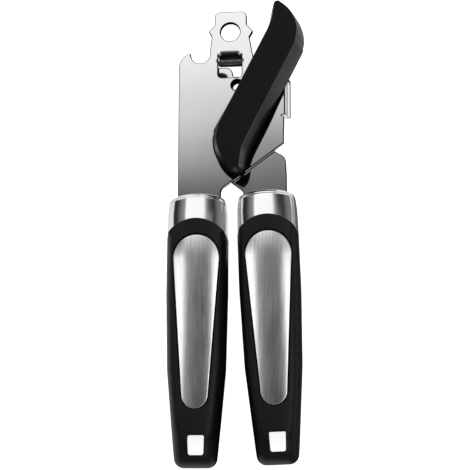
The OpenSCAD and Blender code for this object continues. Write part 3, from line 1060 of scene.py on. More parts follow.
    def painted_shade(self, flat: Array) -> Array:
        """Dark where light is kept out.

        A bell curve of painted shade along the flange's fold; in the cap lifter, painted shade in
        the two dished corners and in the hollow before its lip.

        Args:
            flat: Plane points.

        Returns:
            How dark each is.
        """
        x, y = flat.T
        low, high = self.fold_ys
        # Painted shade along the fold line, standing in for the bend's shading
        fold_shade = np.exp(-((x - self.shade_line_x) / self.shade_line_w) ** 2)
        fold_shade = fold_shade * ((y > low + 0.2) & (y < high + 0.2))
        # Painted shade in the lifter: dished corners and slope, lighter at the crease, and the
        # hollow
        x0, _, x1 = self.window
        dished = np.abs(x - (x0 + x1) / 2) < self.dish_half
        dished &= (y > self.lifter_end) & (y < self.dish_top)
        z = self.shape(flat, np.zeros(len(flat)))[:, 2]
        crease = 1 - 0.5 * np.exp(-((y - self.crease_y) / 0.16) ** 2)
        slope = (crease * smooth((FRONT_Z - 0.03 - z) / 0.15)
                 * smooth((self.dish_top - y) / 0.6) * smooth((y - self.crease_y + 0.8) / 0.2))
        start, end = self.hollow_ys
        hollow = 0.65 * smooth((y - start) / 0.3) * smooth((end - y) / 0.3)
        return np.maximum(fold_shade, 0.86 * dished * np.maximum(slope, hollow))

    def line(self, loop: Array) -> Array:
        """How dark a loop's rim is: faint round the flange and on the left and upper sides.

        Args:
            loop: The loop's points.

        Returns:
            How dark the rim is at each.
        """
        # Painted shade on the rims: faint round the flange, lighter on the left and upper sides
        low, high = self.fold_ys
        x, y = loop.T
        flange = (x > self.fold_x + 0.2) & (y > low - 0.1) & (y < high + 0.1)
        out = -unit(left_normals(loop))
        soft = np.maximum(smooth((-out[:, 0] - 0.6) / 0.3), smooth((out[:, 1] - 0.6) / 0.3))
        return np.where(flange, 0.12, 0.95 - 0.4 * soft)

    def build(self) -> None:
        """Builds the bent plate and rides it on the front lever."""
        outline = divided(self.outline(), 0.5)
        holes = [circle(self.hang[:2], self.hang[2])[::-1], divided(self.window_loop(), 0.3),
                 self.swing_loop(), circle(PIVOT, self.eye_r)[::-1]]
        low, high = self.fold_ys
        fold = lattice((self.fold_x, low + 0.5),
                       (self.fold_x + self.fold_length - 0.4, high - 0.5), (0.15, 0.9))
        x0, _, x1 = self.window
        lift = lattice((x0 - 1.05, self.lifter_end + 0.4), (x1 + 1.45, self.lifter_top + 0.4),
                       (0.3, 0.14))
        extra = np.concatenate([fold, lift])
        clear = is_inside(extra, [outline, *holes])
        for loop in [outline, *holes]:
            clear &= distance_to(extra, loop) > 0.52
        sheet = Sheet([outline, *holes], self.shape, extra=extra[clear], dark=(1, 2, 4),
                      painted_shade=self.painted_shade, line=self.line)
        fit(sheet.surface().build("front_lever_plate"), "front_lever", Slot.PLATE, ["front_plate"])


@dataclass
class RearPlate:
    """The right lever's plate: boss round the shaft, eye with the stop ear, neck, hip, tang."""

    corners: tuple = ((2.95, 19.2, 2), (-4.6, 25.2, 3), (-3.4, 46, 6), (3.9, 53.5, 4),
                      (4.4, 60.5, 3), (-1.6, 62.6, 4.6), (-4.9, 68.6, 3), (-10.5, 69.5, 3),
                      (-10.5, 78.7, 2), (-1.75, 78.7, 3.3), (-1.75, 74.2, 1), (5.6, 74, 4),
                      (15, 73.2, 7.5), (19.4, 66.5, 5.5), (17, 56.5, 5), (9.6, 46, 3),
                      (15.5, 38.85, 5), (22.5, 34.9, 4), (22.9, 26, 8), (22.9, -2, 3),
                      (20.4, -6, 2), (22.45, -62, 2), (10.45, -62, 2), (8.4, -6, 2), (3.2, -2, 2))
    eye_r: float = 3.65
    boss_r: float = 5.0

    def build(self) -> None:
        """Builds the flat plate and rides it on the rear lever."""
        outline = rounded(self.corners)[::-1]
        loops = [divided(outline, 0.8), circle(PIVOT, self.eye_r)[::-1],
                 circle(SHAFT, self.boss_r)[::-1]]
        low = lattice((-9, 70.5), (-2.8, 77), (0.35, 0.35))

        def painted_shade(flat: Array) -> Array:
            """Dark in the corner of the stop ear that the front plate's window overhangs."""
            # Painted shadow cast by the front plate's window edge
            return 0.9 * smooth((3.9 - np.hypot(flat[:, 0] + 7.4, (flat[:, 1] - 74) * 1.5)) / 1.6)

        sheet = Sheet(loops, flat_sheet(REAR_Z), extra=low, painted_shade=painted_shade)
        fit(sheet.surface().build("rear_lever_plate"), "rear_lever", Slot.PLATE, ["rear_plate"])


# ---- Handles --------------------------------------------------------------------------


class Side(Enum):
    """The two handles: name, body, root, lean and fulness.

    The fulness widens the left and the right half, each at the middle and at the butt.
    """

    LEFT = ("left", "front_lever", (-17.6, -0.4), -0.25, ((0.3, 0.45), (0.35, 0.5)))
    RIGHT = ("right", "rear_lever", (14.15, 0.8), 2.1, ((0.0, 0.0), (0.04, 0.45)))


@dataclass
class Handle:
    """One handle: a chrome collar, two moulded grip shells and two brushed inlays.

    The handle has its own frame, with Y along its axis from the collar's foot.  The collar's
    width and height are lines of [y, half size, corner radius].
    """

    side: Side
    half_w: float = 13.89
    length: float = 104.78
    arc_y: float = -10.6
    arc_r: float = 16.2
    power: float = 2.1
    shoulder: float = 4.2
    nose: float = 6.4
    crown: float = 0.9
    facet_at: tuple[float, float] = (6.7, -91)
    butt_y: float = -86
    butt_drop: float = 0.8
    rim: float = 0.4
    close: tuple = (0.04, 0.15, 0.33, 0.6, 1.0)
    levels: tuple = (0, 0.06, 0.16, 0.27, 0.38, 0.49, 0.6)
    inlay_top: tuple[float, float] = (-12.4, 10.4)
    inlay_end: tuple[float, float] = (-73.7, 5.85)
    inlay_x: float = 0.3
    slot_taper: tuple[float, float] = (1.5, 1.1)
    inlay_crown: float = 1.25
    inlay_bend: float = 0.32
    gap: float = 0.45
    recess_z: float = 16.4
    # Painted shade in the inlay's seat and on the hanging slot's wall
    recess_shade: float = 0.6
    collar_width: tuple = ((-3, 13.9, 0), (9, 13.75, 12), (15.6, 13.2, 2.5), (17.0, 12.5, 1.0),
                           (17.5, 11.2, 0))
    collar_height: tuple = ((-3, 9.35, 0), (1.5, 9.2, 8), (15.8, 8.0, 0.8), (17.1, 6.9, 0.8),
                            (17.5, 5.6, 0))
    collar_power: float = 2.5
    collar_bow: float = 1.3
    collar_tuck: float = 0.9
    corner_r: float = 3.0
    seam_in: float = 1.75
    seam_w: float = 0.34
    seam_deep: float = 0.3

    def side_path(self) -> Array:
        """The outline from the curved edge's right end round the butt to its left end."""
        w, y0 = self.half_w, self.edge_y(np.array([self.half_w]))[0]
        halves = [[[w, y0, 0], [w, -28, 40], [w - 1.1 + middle, -62, 30],
                   [w - 4.4 + butt, -97, 8], [w - 5.2 + butt, -self.length, 4.4]]
                  for middle, butt in self.side.value[4]]
        corners = halves[1] + [[-x, y, r] for x, y, r in halves[0][::-1]]
        return divided(rounded(corners, 10, False), 1.6, False)

    def edge_y(self, x: Array) -> Array:
        """Height of the curved upper edge: a circle about a point on the axis."""
        return self.arc_y + np.sqrt(np.maximum(self.arc_r ** 2 - x ** 2, 1.0))

    def roundness(self, y: Array) -> Array:
        """Width over which the shell's edge rounds, wider at the butt."""
        return self.shoulder + (self.nose - self.shoulder) * smooth((-80 - y) / 20)

    def rise(self, inset: Array, y: Array) -> Array:
        """Height above the split for an inset from the outline, from a superellipse."""
        t = np.clip(1 - inset / self.roundness(y), 0, 1)
        return SPLIT_Z * (1 - t ** self.power) ** (1 / self.power)

    def sag(self, flat: Array) -> Array:
        """How far the face lies below its highest line.

        A parabola across, one at the butt, and facets below two slanting creases beside the slot.

        Args:
            flat: Plane points.

        Returns:
            The drop at each.
        """
        x, y = flat.T
        below = 0.667 * (np.abs(x) - self.facet_at[0]) - 0.745 * (y - self.facet_at[1])
        facet = 0.2 * np.clip(below, 0, 2.2) * smooth(below / 0.8)
        butt = self.butt_drop * (np.clip(self.butt_y - y, 0, None) / 18.8) ** 2
        return self.crown * (x / 10) ** 2 + butt + facet

    def height(self, flat: Array, path: Array) -> Array:
        """Height of the shell's skin over plane points."""
        level = self.rise(distance_to(flat, path, False), flat[:, 1])
        return SPLIT_Z + level * (1 - self.sag(flat) / SPLIT_Z)

    def slot_loop(self, grow: float) -> Array:
        """The hanging slot near the butt, clockwise, widened by a share of its taper."""
        gx, gy, over = self.slot_taper[0] * grow, self.slot_taper[1] * grow, 0.9 * (1 - grow)
        low, high, wide = -99.5 - gy, -90.9 + gy, 0.5 * gx
        corners = [[3.4 + over + wide, low, 1.0], [3.75 + over + wide, high, 1.0],
                   [-3.5 + over - gx, high, 1.0], [-3.15 + over - gx, low, 1.0]]
        return divided(rounded(corners, 6), 0.8)[::-1]

    def inlay_loop(self, grow: float) -> Array:
        """Outline round two circles on the handle's axis, drawn out by a distance."""
        (y0, r0), (y1, r1) = self.inlay_top, self.inlay_end
        a = math.degrees(math.asin((r0 - r1) / (y0 - y1)))
        x = self.inlay_x
        return divided(np.concatenate([arc((x, y0), r0 + grow, -a, 180 + a, 56),
                                       arc((x, y1), r1 + grow, 180 + a, 360 - a, 36)]), 1.0)

    def skin_path(self, close: Array) -> Array:
        """The side outline with extra points at both ends, at some distances from the edge."""
        path = self.side_path()
        ends = np.stack([np.full(len(close), self.half_w), path[0, 1] - close], 1)
        return np.concatenate([path[:1], ends, path[1:-1], ends[::-1] * [-1, 1], path[-1:]])

    def band(self, path: Array, outward: Array) -> Array:
        """The skin's lower part: a row at the split, then one at each level.

        A row is drawn in from the outline by the superellipse, and reaches up to the curved
        edge at its ends.

        Args:
            path: The outline.
            outward: Its unit normals.

        Returns:
            Rows by points by 3.
        """
        y_end = path[0, 1]
        grow = np.clip((path[:, 1] + 20) / (y_end + 20), 0, 1)
        levels = np.array(self.levels)
        widths = 1 - (1 - levels ** self.power) ** (1 / self.power)
        rows = [raised(path - 0.12 * outward, SPLIT_Z)]
        for level, width in zip(levels, widths):
            row = path - outward * (width * self.roundness(path[:, 1]))[:, None]
            row[:, 1] += grow * (self.edge_y(row[:1, 0])[0] - y_end)
            rows.append(raised(row, SPLIT_Z + level * (SPLIT_Z - self.sag(row))))
        rows[1][:, 2] += 0.15
        return np.array(rows)

    def cap(self, last: Array, outward: Array, edge: Array, cuts: Sequence[Array],
            close: Array) -> tuple[Array, Array]:
        """The skin above the band, in plan: lattice points and rows beside every border.

        Args:
            last: The band's last row.
            outward: Unit normals of the outline.
            edge: Points of the curved edge.
            cuts: The inlay's seat and the hanging slot.
            close: Distances from the cut edges at which there are rows.

        Returns:
            Plane points, which start with the borders, and triangles.
        """
        outer = np.concatenate([last, edge])
        rings = [offset(loop, float(d)) for loop in cuts for d in close]
        insets = np.concatenate([last - outward * d for d in (0.5, 1.0, 1.6, 2.3, 3.0)])
        loose = np.concatenate([insets, lattice((-13.5, -104), (13.5, 5.5), (1.1, 1.1))])
        clear = is_inside(loose, [outer]) & (distance_to(loose, outer) > 0.45)
        for loop in cuts:
            clear &= (distance_to(loose, loop) > 0.75) & ~is_inside(loose, [loop])
        rims = np.concatenate([edge - [0, d] for d in close])
        apart = is_inside(rims, [outer]) & (distance_to(rims, last, False) > 0.12)
        return fill([outer, *cuts], np.concatenate([loose[clear], rims[apart]]), rings)

    def shell(self, flare: float) -> Surface:
        """One grip shell: the band, the cap over it, the walls and the parting face.

        Near the curved edge, the inlay's seat and the hanging slot the skin sinks by a
        quarter circle.

        Args:
            flare: Share of the slot's taper at this shell's face, half of which is at the split.

        Returns:
            The front shell in the handle's frame.
        """
        close = self.rim * np.array(self.close)
        path = self.skin_path(close)
        outward = unit(left_normals(path, False))
        band = self.band(path, outward)
        last = band[-1, :, :2].copy()
        span = np.linspace(last[-1, 0], last[0, 0], 60)[1:-1]
        edge = np.stack([span, self.edge_y(span)], 1)
        seat, slot = self.inlay_loop(self.gap)[::-1], self.slot_loop(flare)
        flat, triangles = self.cap(last, outward, edge, (seat, slot), close)
        cap = raised(flat, self.height(flat, self.side_path()))
        share = np.concatenate([[0], self.levels])[:, None, None] ** 2
        sides = raised(outward, 0.0)
        leaning = unit(sides * (1 - share) + UP * share * 2.2)
        band = band - leaning * self.sink(self.arc_gap(band))[..., None]
        near = self.arc_gap(cap)
        for loop in (seat, slot):
            near = np.minimum(near, distance_to(flat, loop))
        cap[:, 2] -= self.sink(near)
        cap[:len(last)] = band[-1]
        surface = Surface()
        surface.grid(band, sides + 0.3 * UP, wrap=False, group="skin")
        surface.add(cap, triangles, UP, "skin")

        borders = np.cumsum([len(last), len(edge), len(seat), len(slot)])
        brow, *tops = np.split(cap, borders)[1:4]
        rim = np.concatenate([band[:, 0], brow[::-1], band[::-1, -1]])
        foot = rim * [1, 1, 0] + UP * SPLIT_Z
        radial = unit((rim - [0, self.arc_y, 0]) * [1, 1, 0])
        surface.grid(np.array([rim, foot]), radial, wrap=False)
        lows = [top * [1, 1, 0] + UP * z for top, z in zip(tops, (self.recess_z, SPLIT_Z))]
        lows[1][:, :2] = divided_like(self.slot_loop(0.5), slot)
        # Painted shade on the seat's wall and floor and on the slot's wall
        surface.grid(np.array([tops[0], lows[0]]), facing_out(seat), group="seat",
                     shade=self.recess_shade)
        surface.plane([lows[0][:, :2]], self.recess_z, UP, shade=self.recess_shade)
        surface.grid(np.array([tops[1], lows[1]]), facing_out(slot), group="slot",
                     shade=self.recess_shade)
        parting = [np.concatenate([band[0, :, :2], foot[-2:0:-1, :2]]), lows[1][:, :2]]
        surface.plane(parting, SPLIT_Z, -UP)
        return surface

    def arc_gap(self, points: Array) -> Array:
        """Distance in plan from the curved edge; points beside it count as a rim away."""
        x, y = points[..., 0], points[..., 1]
        return np.where(y > self.arc_y, self.arc_r - np.hypot(x, y - self.arc_y), self.rim)

    def sink(self, gap: Array) -> Array:
        """How far a quarter-round rim lies below its face at a distance from the edge."""
        gap = np.clip(gap, 0, self.rim)
        return self.rim - np.sqrt(np.maximum(self.rim ** 2 - (self.rim - gap) ** 2, 0))

    def inlay(self) -> Surface:
        """One inlay: a crowned plate with a rounded edge, bent down at its upper end.

        Returns:
            The inlay in the handle's frame.
        """
        loop, edge_r, foot_z = self.inlay_loop(0.0), 0.35, self.recess_z - 0.05
        a = np.linspace(0, math.pi / 2, 7)
        rings = [offset(loop, edge_r * (1 - math.sin(t))) for t in a]
        inner = rings[0]
        loose = np.concatenate([lattice((-11, -82), (11, -1), (0.9, 1.5))]
                               + [offset(loop, d) for d in (0.8, 1.2, 1.8, 2.6)])
        clear = is_inside(loose, [inner]) & (distance_to(loose, inner) > 0.2)
        points, tri = fill([inner], loose[clear])

        def lay(flat: Array) -> Array:
            """Plane points lifted to the inlay's face."""
            x, y = flat.T
            bend = self.inlay_bend * np.clip((y + 13) / 10, 0, None) ** 2
            return raised(flat, GRIP_T - 0.05 - bend - self.inlay_crown * (x / 10) ** 2)

        surface = Surface()
        surface.add(lay(points), tri, UP, "face")
        rows = np.array([lay(ring) - UP * edge_r * (1 - math.cos(t)) for t, ring in zip(a, rings)])
        foot = rows[-1] * [1, 1, 0] + UP * foot_z
        out = facing_out(loop, 0.2)
        surface.grid(rows, out, group="face")
        surface.grid(np.array([rows[-1], foot]), out, group="foot")
        surface.plane([foot[:, :2]], foot_z, -UP)
        return surface

    def collar(self) -> Surface:
        """The chrome collar: superellipse sections along the axis, with a bowed, rolled end.

        Half width and half height follow two rounded lines in Y.  A fine seam runs at an even
        distance inside the plan outline, where the surface sinks by a bell curve, and the same
        bell paints shade into the seam.

        Returns:
            The collar in the handle's frame.
        """
        first, end, power = self.collar_width[0][0], self.collar_width[-1][0], self.collar_power
        y = np.concatenate([np.linspace(first, end - 3.5, 50),
                            end - 3.5 + 3.5 * np.sin(np.linspace(0, math.pi / 2, 45))[1:]])
        turn = np.linspace(0, 2 * math.pi, 240, endpoint=False)
        c, s = np.cos(turn), np.sin(turn)
        size = (np.abs(c) ** power + np.abs(s) ** power) ** (-1 / power)
        lines = [rounded(line, 12, False).T for line in (self.collar_width, self.collar_height)]
        start = self.edge_y(np.interp(y, *lines[0])[:, None] * c * size) - self.collar_tuck
        share = np.clip((y[:, None] - first) / (end - 5 - first), 0, 1)
        yy = np.where(share < 1, start + (end - 5 - start) * share, y[:, None])
        half_w, half_h = (np.interp(yy, *line) for line in lines)
        x, tall = half_w * c * size, half_h * s * size
        side, tip, r = half_w - np.abs(x), end - yy, self.corner_r
        corner = (side < r) & (tip < r)
        inside = np.where(corner, r - np.hypot(r - side, r - tip), np.minimum(side, tip))
        bell = np.exp(-((inside - self.seam_in) / self.seam_w) ** 2)
        z = SPLIT_Z + tall - np.sign(tall) * self.seam_deep * bell
        yy = yy - self.collar_bow * (x / 11) ** 2 * smooth((yy - 6) / (end - 6))
        rows = np.stack([x, yy, z], -1)
        facing = np.stack(np.broadcast_arrays(c, 0.2, s), -1)
        surface = Surface()
        # The seam's groove is real; the bell also paints shade into it
        surface.grid(rows, facing, group="body", shade=bell)
        for row, way in ((rows[-1], 1.0), (rows[0], -1.0)):
            middle = np.broadcast_to(row.mean(0), row.shape)
            surface.grid(np.array([row, (row + middle) / 2, middle]), np.array([0, way, 0]),
                         group="body" if way > 0 else "")
        return surface

    def build(self) -> None:
        """Builds the collar, both shells and both inlays, and rides them on the lever."""
        name, body, root, lean = self.side.value[:4]
        finish = Finish(f"brushed_{name}", (0.76, 0.755, 0.75), 0.2, 1.0, Grain.BRUSHED, lean=lean)
        for flip, face in ((False, "front"), (True, "back")):
            shell = self.shell(1.0 if flip else 0.0).place(root, lean, flip)
            fit(shell.build(f"{name}_handle_{face}"), body, Slot.GRIP, [f"{name}_grip_{face}"])
            inlay = self.inlay().place(root, lean, flip)
            fit(inlay.build(f"{name}_inset_{face}"), body, Slot.INLAY,
                [f"{name}_inlay_{face}"], finish)
        collar = self.collar().place(root, lean)
        fit(collar.build(f"{name}_collar"), body, Slot.COLLAR, [f"{name}_ferrule"])
        keep(f"{name}_screws", TOOL_STEEL)


# ---- Key ------------------------------------------------------------------------------


@dataclass(frozen=True)
class KeyLevel:
    """One level of the key's outline, which is the same after half a turn about the shaft."""

    flank: float
    neck_y: float
    side: tuple[tuple[float, float], tuple[float, float]]
    tip: tuple[float, float, float]
    far: tuple[float, float, float]


@dataclass
class TurnKey:
    """The turn key: an S-shaped moulded grip over a nylon core on the drive shaft."""

    lean: float = 26.8
    corner_r: float = 8.0
    base_z: float = 13.0
    top_z: float = 28.0
    edge_r: float = 1.3
    edge_in: float = 0.55
    belly: float = 1.2
    waist_z: tuple[float, float] = (13.9, 17.9)
    undercut: tuple[float, float] = (0.5, 1.8)
    core_top: float = 25.5
    core_half: float = 4.65
    levels: tuple[KeyLevel, KeyLevel] = (
        KeyLevel(9.8, 28, ((4.8, 32.6), (5.6, 36.6)), (8.6, 37.4, 2.9), (2.9, 24, 18.1)),
        KeyLevel(7.15, 25.6, ((6.8, 29.8), (7.9, 36.4)), (9.6, 37.2, 2.0), (2.6, 24.9, 15.9)))

    def flank_at(self, distance: float, y: float) -> Array:
        """The point at a height on the right flank, a straight line at a distance from the axis."""
        turn = math.radians(self.lean)
        return np.array([(distance + math.sin(turn) * y) / math.cos(turn), y])

    def half(self, level: KeyLevel) -> Array:
        """Half the outline, from the left flank round the upper end to the right flank.

        Args:
            level: The level's sizes.

        Returns:
            The points about the shaft, n by 2.
        """
        left = -self.flank_at(level.flank, -level.neck_y)
        fx, fy, fr = level.far
        reach = fr - self.corner_r
        hub = np.array([fx, fy]) + reach * unit(np.array([reach, -level.flank / 12]))
        tip = arc(level.tip[:2], level.tip[2], 175, 66, 6)
        return np.concatenate([[left], level.side, tip, arc((fx, fy), fr, 58, 0, 14),
                               arc(hub, self.corner_r, 0, -self.lean, 6),
                               [self.flank_at(level.flank, 19.8)]])

    def outline(self, level: KeyLevel) -> Array:
        """The whole outline, anticlockwise.

        Every level is divided as the base is, so that its points lie above the base's, and each
        point is then drawn three times towards the mean of its neighbours.

        Args:
            level: The level's sizes.

        Returns:
            The points about the shaft, n by 2.
        """
        line, base = (np.concatenate([half, -half])[::-1]
                      for half in map(self.half, (level, self.levels[0])))
        sides = np.linalg.norm(np.roll(base, -1, 0) - base, axis=1)
        fine = subdivided(line, np.maximum(1, np.round(sides)).astype(int))
        for _ in range(3):
            fine = (np.roll(fine, 1, 0) + 2 * fine + np.roll(fine, -1, 0)) / 4
        return fine

    def core_loop(self) -> Array:
        """The core's S-shaped outline, for the pocket that opens below."""
        high, *low = (self.flank_at(self.core_half, y) for y in (15, -22, -19))
        half = [high, high + [1.5, 9], -low[0] + [2.5, 6], -low[1]]
        return divided(rounded([[*p, 0.6] for p in [*half, *(-np.array(half))]], 4), 1.5)

    def build(self) -> None:
        """Builds the key: drawn in below its waist, leaning in above it, rounded over at the top.

        The waist rises, and is drawn in more, towards the lower end; painted shade darkens
        the wall down to it.
        """
        low, high = (self.outline(level) for level in self.levels)
        rows, r = [], self.edge_r
        down = smooth(-(low[:, 1] - 3) / 20)
        waist, under = (part_way(pair, down) for pair in (self.waist_z, self.undercut))
        for t in np.linspace(0, math.pi / 2, 9):
            z = self.base_z + (waist - self.base_z) * (1 - math.cos(t))
            rows.append((offset(low, under * (1 - math.sin(t))), z))
        for share in np.linspace(0, 1, 11)[1:]:
            z = waist + (self.top_z - r - waist) * share
            rows.append((low + (high - low) * share ** self.belly, z))
        for t in np.linspace(0, math.pi / 2, 9)[1:]:
            inset = self.edge_in * r * (1 - math.cos(t))
            rows.append((offset(high, inset), self.top_z - r + r * math.sin(t)))
        points = np.array([raised(flat + SHAFT, z) for flat, z in rows])
        surface = Surface()
        # Painted shade on the wall below and near the waist, reaching higher towards the lower end
        foot = 1 - smooth((points[..., 2] - waist + 0.4) / (1.2 + 6.0 * down))
        surface.grid(points, facing_out(low, 0.05), group="skin", shade=foot)
        surface.plane([points[-1][:, :2]], self.top_z, UP, exact=True)
        pocket = self.core_loop() + SHAFT
        surface.plane([points[0][:, :2], pocket], self.base_z, -UP, exact=True)
        surface.grid(np.array([raised(pocket, z) for z in (self.base_z, self.core_top)]),
                     -facing_out(pocket))
        surface.plane([pocket], self.core_top, -UP, exact=True)
        fit(surface.build("key_grip"), "drive", Slot.KEY, ["knob_shell"])
        keep("knob_core", CORE)


# ---- Pivot, cutter and drive ----------------------------------------------------------


@dataclass
class Mechanism:
    """The hollow pivot rivet, the cutting wheel on its rivet, and the feed wheel's parts."""

    bore: float = 2.45
    feed_r: float = 5.6
    feed_z: float = 5.7
    feed_t: float = 1.7
    teeth: int = 20
    tooth: float = 0.7

    def turned(self, name: str, node: str, body: str, slot: Slot, centre: Array,
               profile: Sequence[Sequence[float]], dark_r: float = 0.0) -> None:
        """Builds a turned piece from its profile's corners and fits it.

        Args:
            name: The piece's name.
            node: The CAD node that it replaces.
            body: The body that it moves with.
            slot: The record's material slot.
            centre: The axis.
            profile: Corners as [radius, height, corner radius].
            dark_r: Radius up to which the piece gets painted shade.
        """
        fit(lathe(centre, rounded(profile, 5), dark_r).build(name), body, slot, [node])

    def feed_wheel(self) -> None:
        """Builds the saw-toothed feed wheel as a small sheet."""
        turn = (np.arange(self.teeth)[:, None] + [0, 0.25, 0.65]) * (2 * math.pi / self.teeth)
        radius = self.feed_r - np.array([0, 0, self.tooth])
        teeth = SHAFT + np.stack([radius * np.cos(turn), radius * np.sin(turn)], -1).reshape(-1, 2)
        loops = [rounded(raised(teeth, 0.14), 3), circle(SHAFT, 2.4)[::-1]]
        sheet = Sheet(loops, flat_sheet(self.feed_z, self.feed_t), self.feed_t, 0.04, arc_steps=2)
        fit(sheet.surface().build("feed_gear"), "drive", Slot.TOOL, ["feed_wheel"])

    def build(self) -> None:
        """Builds every small part of the head."""
        b = self.bore
        self.turned("hollow_rivet", "pivot_rivet", "front_lever", Slot.PLATE, PIVOT, [
            [b, 5.95, 0.3], [4.4, 5.95, 0.35], [4.8, 6.65, 0.2], [3.6, 6.65, 0.1],
            [3.6, 9.45, 0.05], [b + 0.45, 9.5, 0.05], [b + 0.45, 12, 0.05], [b, 12, 0.4]], b + 0.5)
        self.turned("cutting_disc", "cutting_wheel", "cutter", Slot.TOOL, CUTTER, [
            [2.65, 2.7, 0.1], [7.2, 2.7, 0.1], [9, 3.65, 0.02], [8.95, 3.8, 0.02],
            [2.65, 3.8, 0.1]])
        self.turned("thrust_ring", "thrust_washer", "drive", Slot.PLATE, SHAFT, [
            [3.6, 12.15, 0.1], [7.2, 12.15, 0.15], [7.2, 12.75, 0.2], [3.6, 12.75, 0.1]])
        self.turned("dished_washer", "spring_washer", "drive", Slot.PLATE, SHAFT, [
            [1.6, 3.4, 0.1], [3.2, 3.4, 0.1], [3.8, 3.75, 0.05], [3.8, 4.0, 0.05],
            [1.6, 4.0, 0.1]])
        self.feed_wheel()
        for node, finish in (("cutter_rivet", TOOL_STEEL), ("cutter_spacer", POLISHED),
                             ("shaft_bushing", BRONZE), ("drive_shaft", TOOL_STEEL),
                             ("feed_screw", TOOL_STEEL)):
            keep(node, finish)


# ---- Studio ---------------------------------------------------------------------------


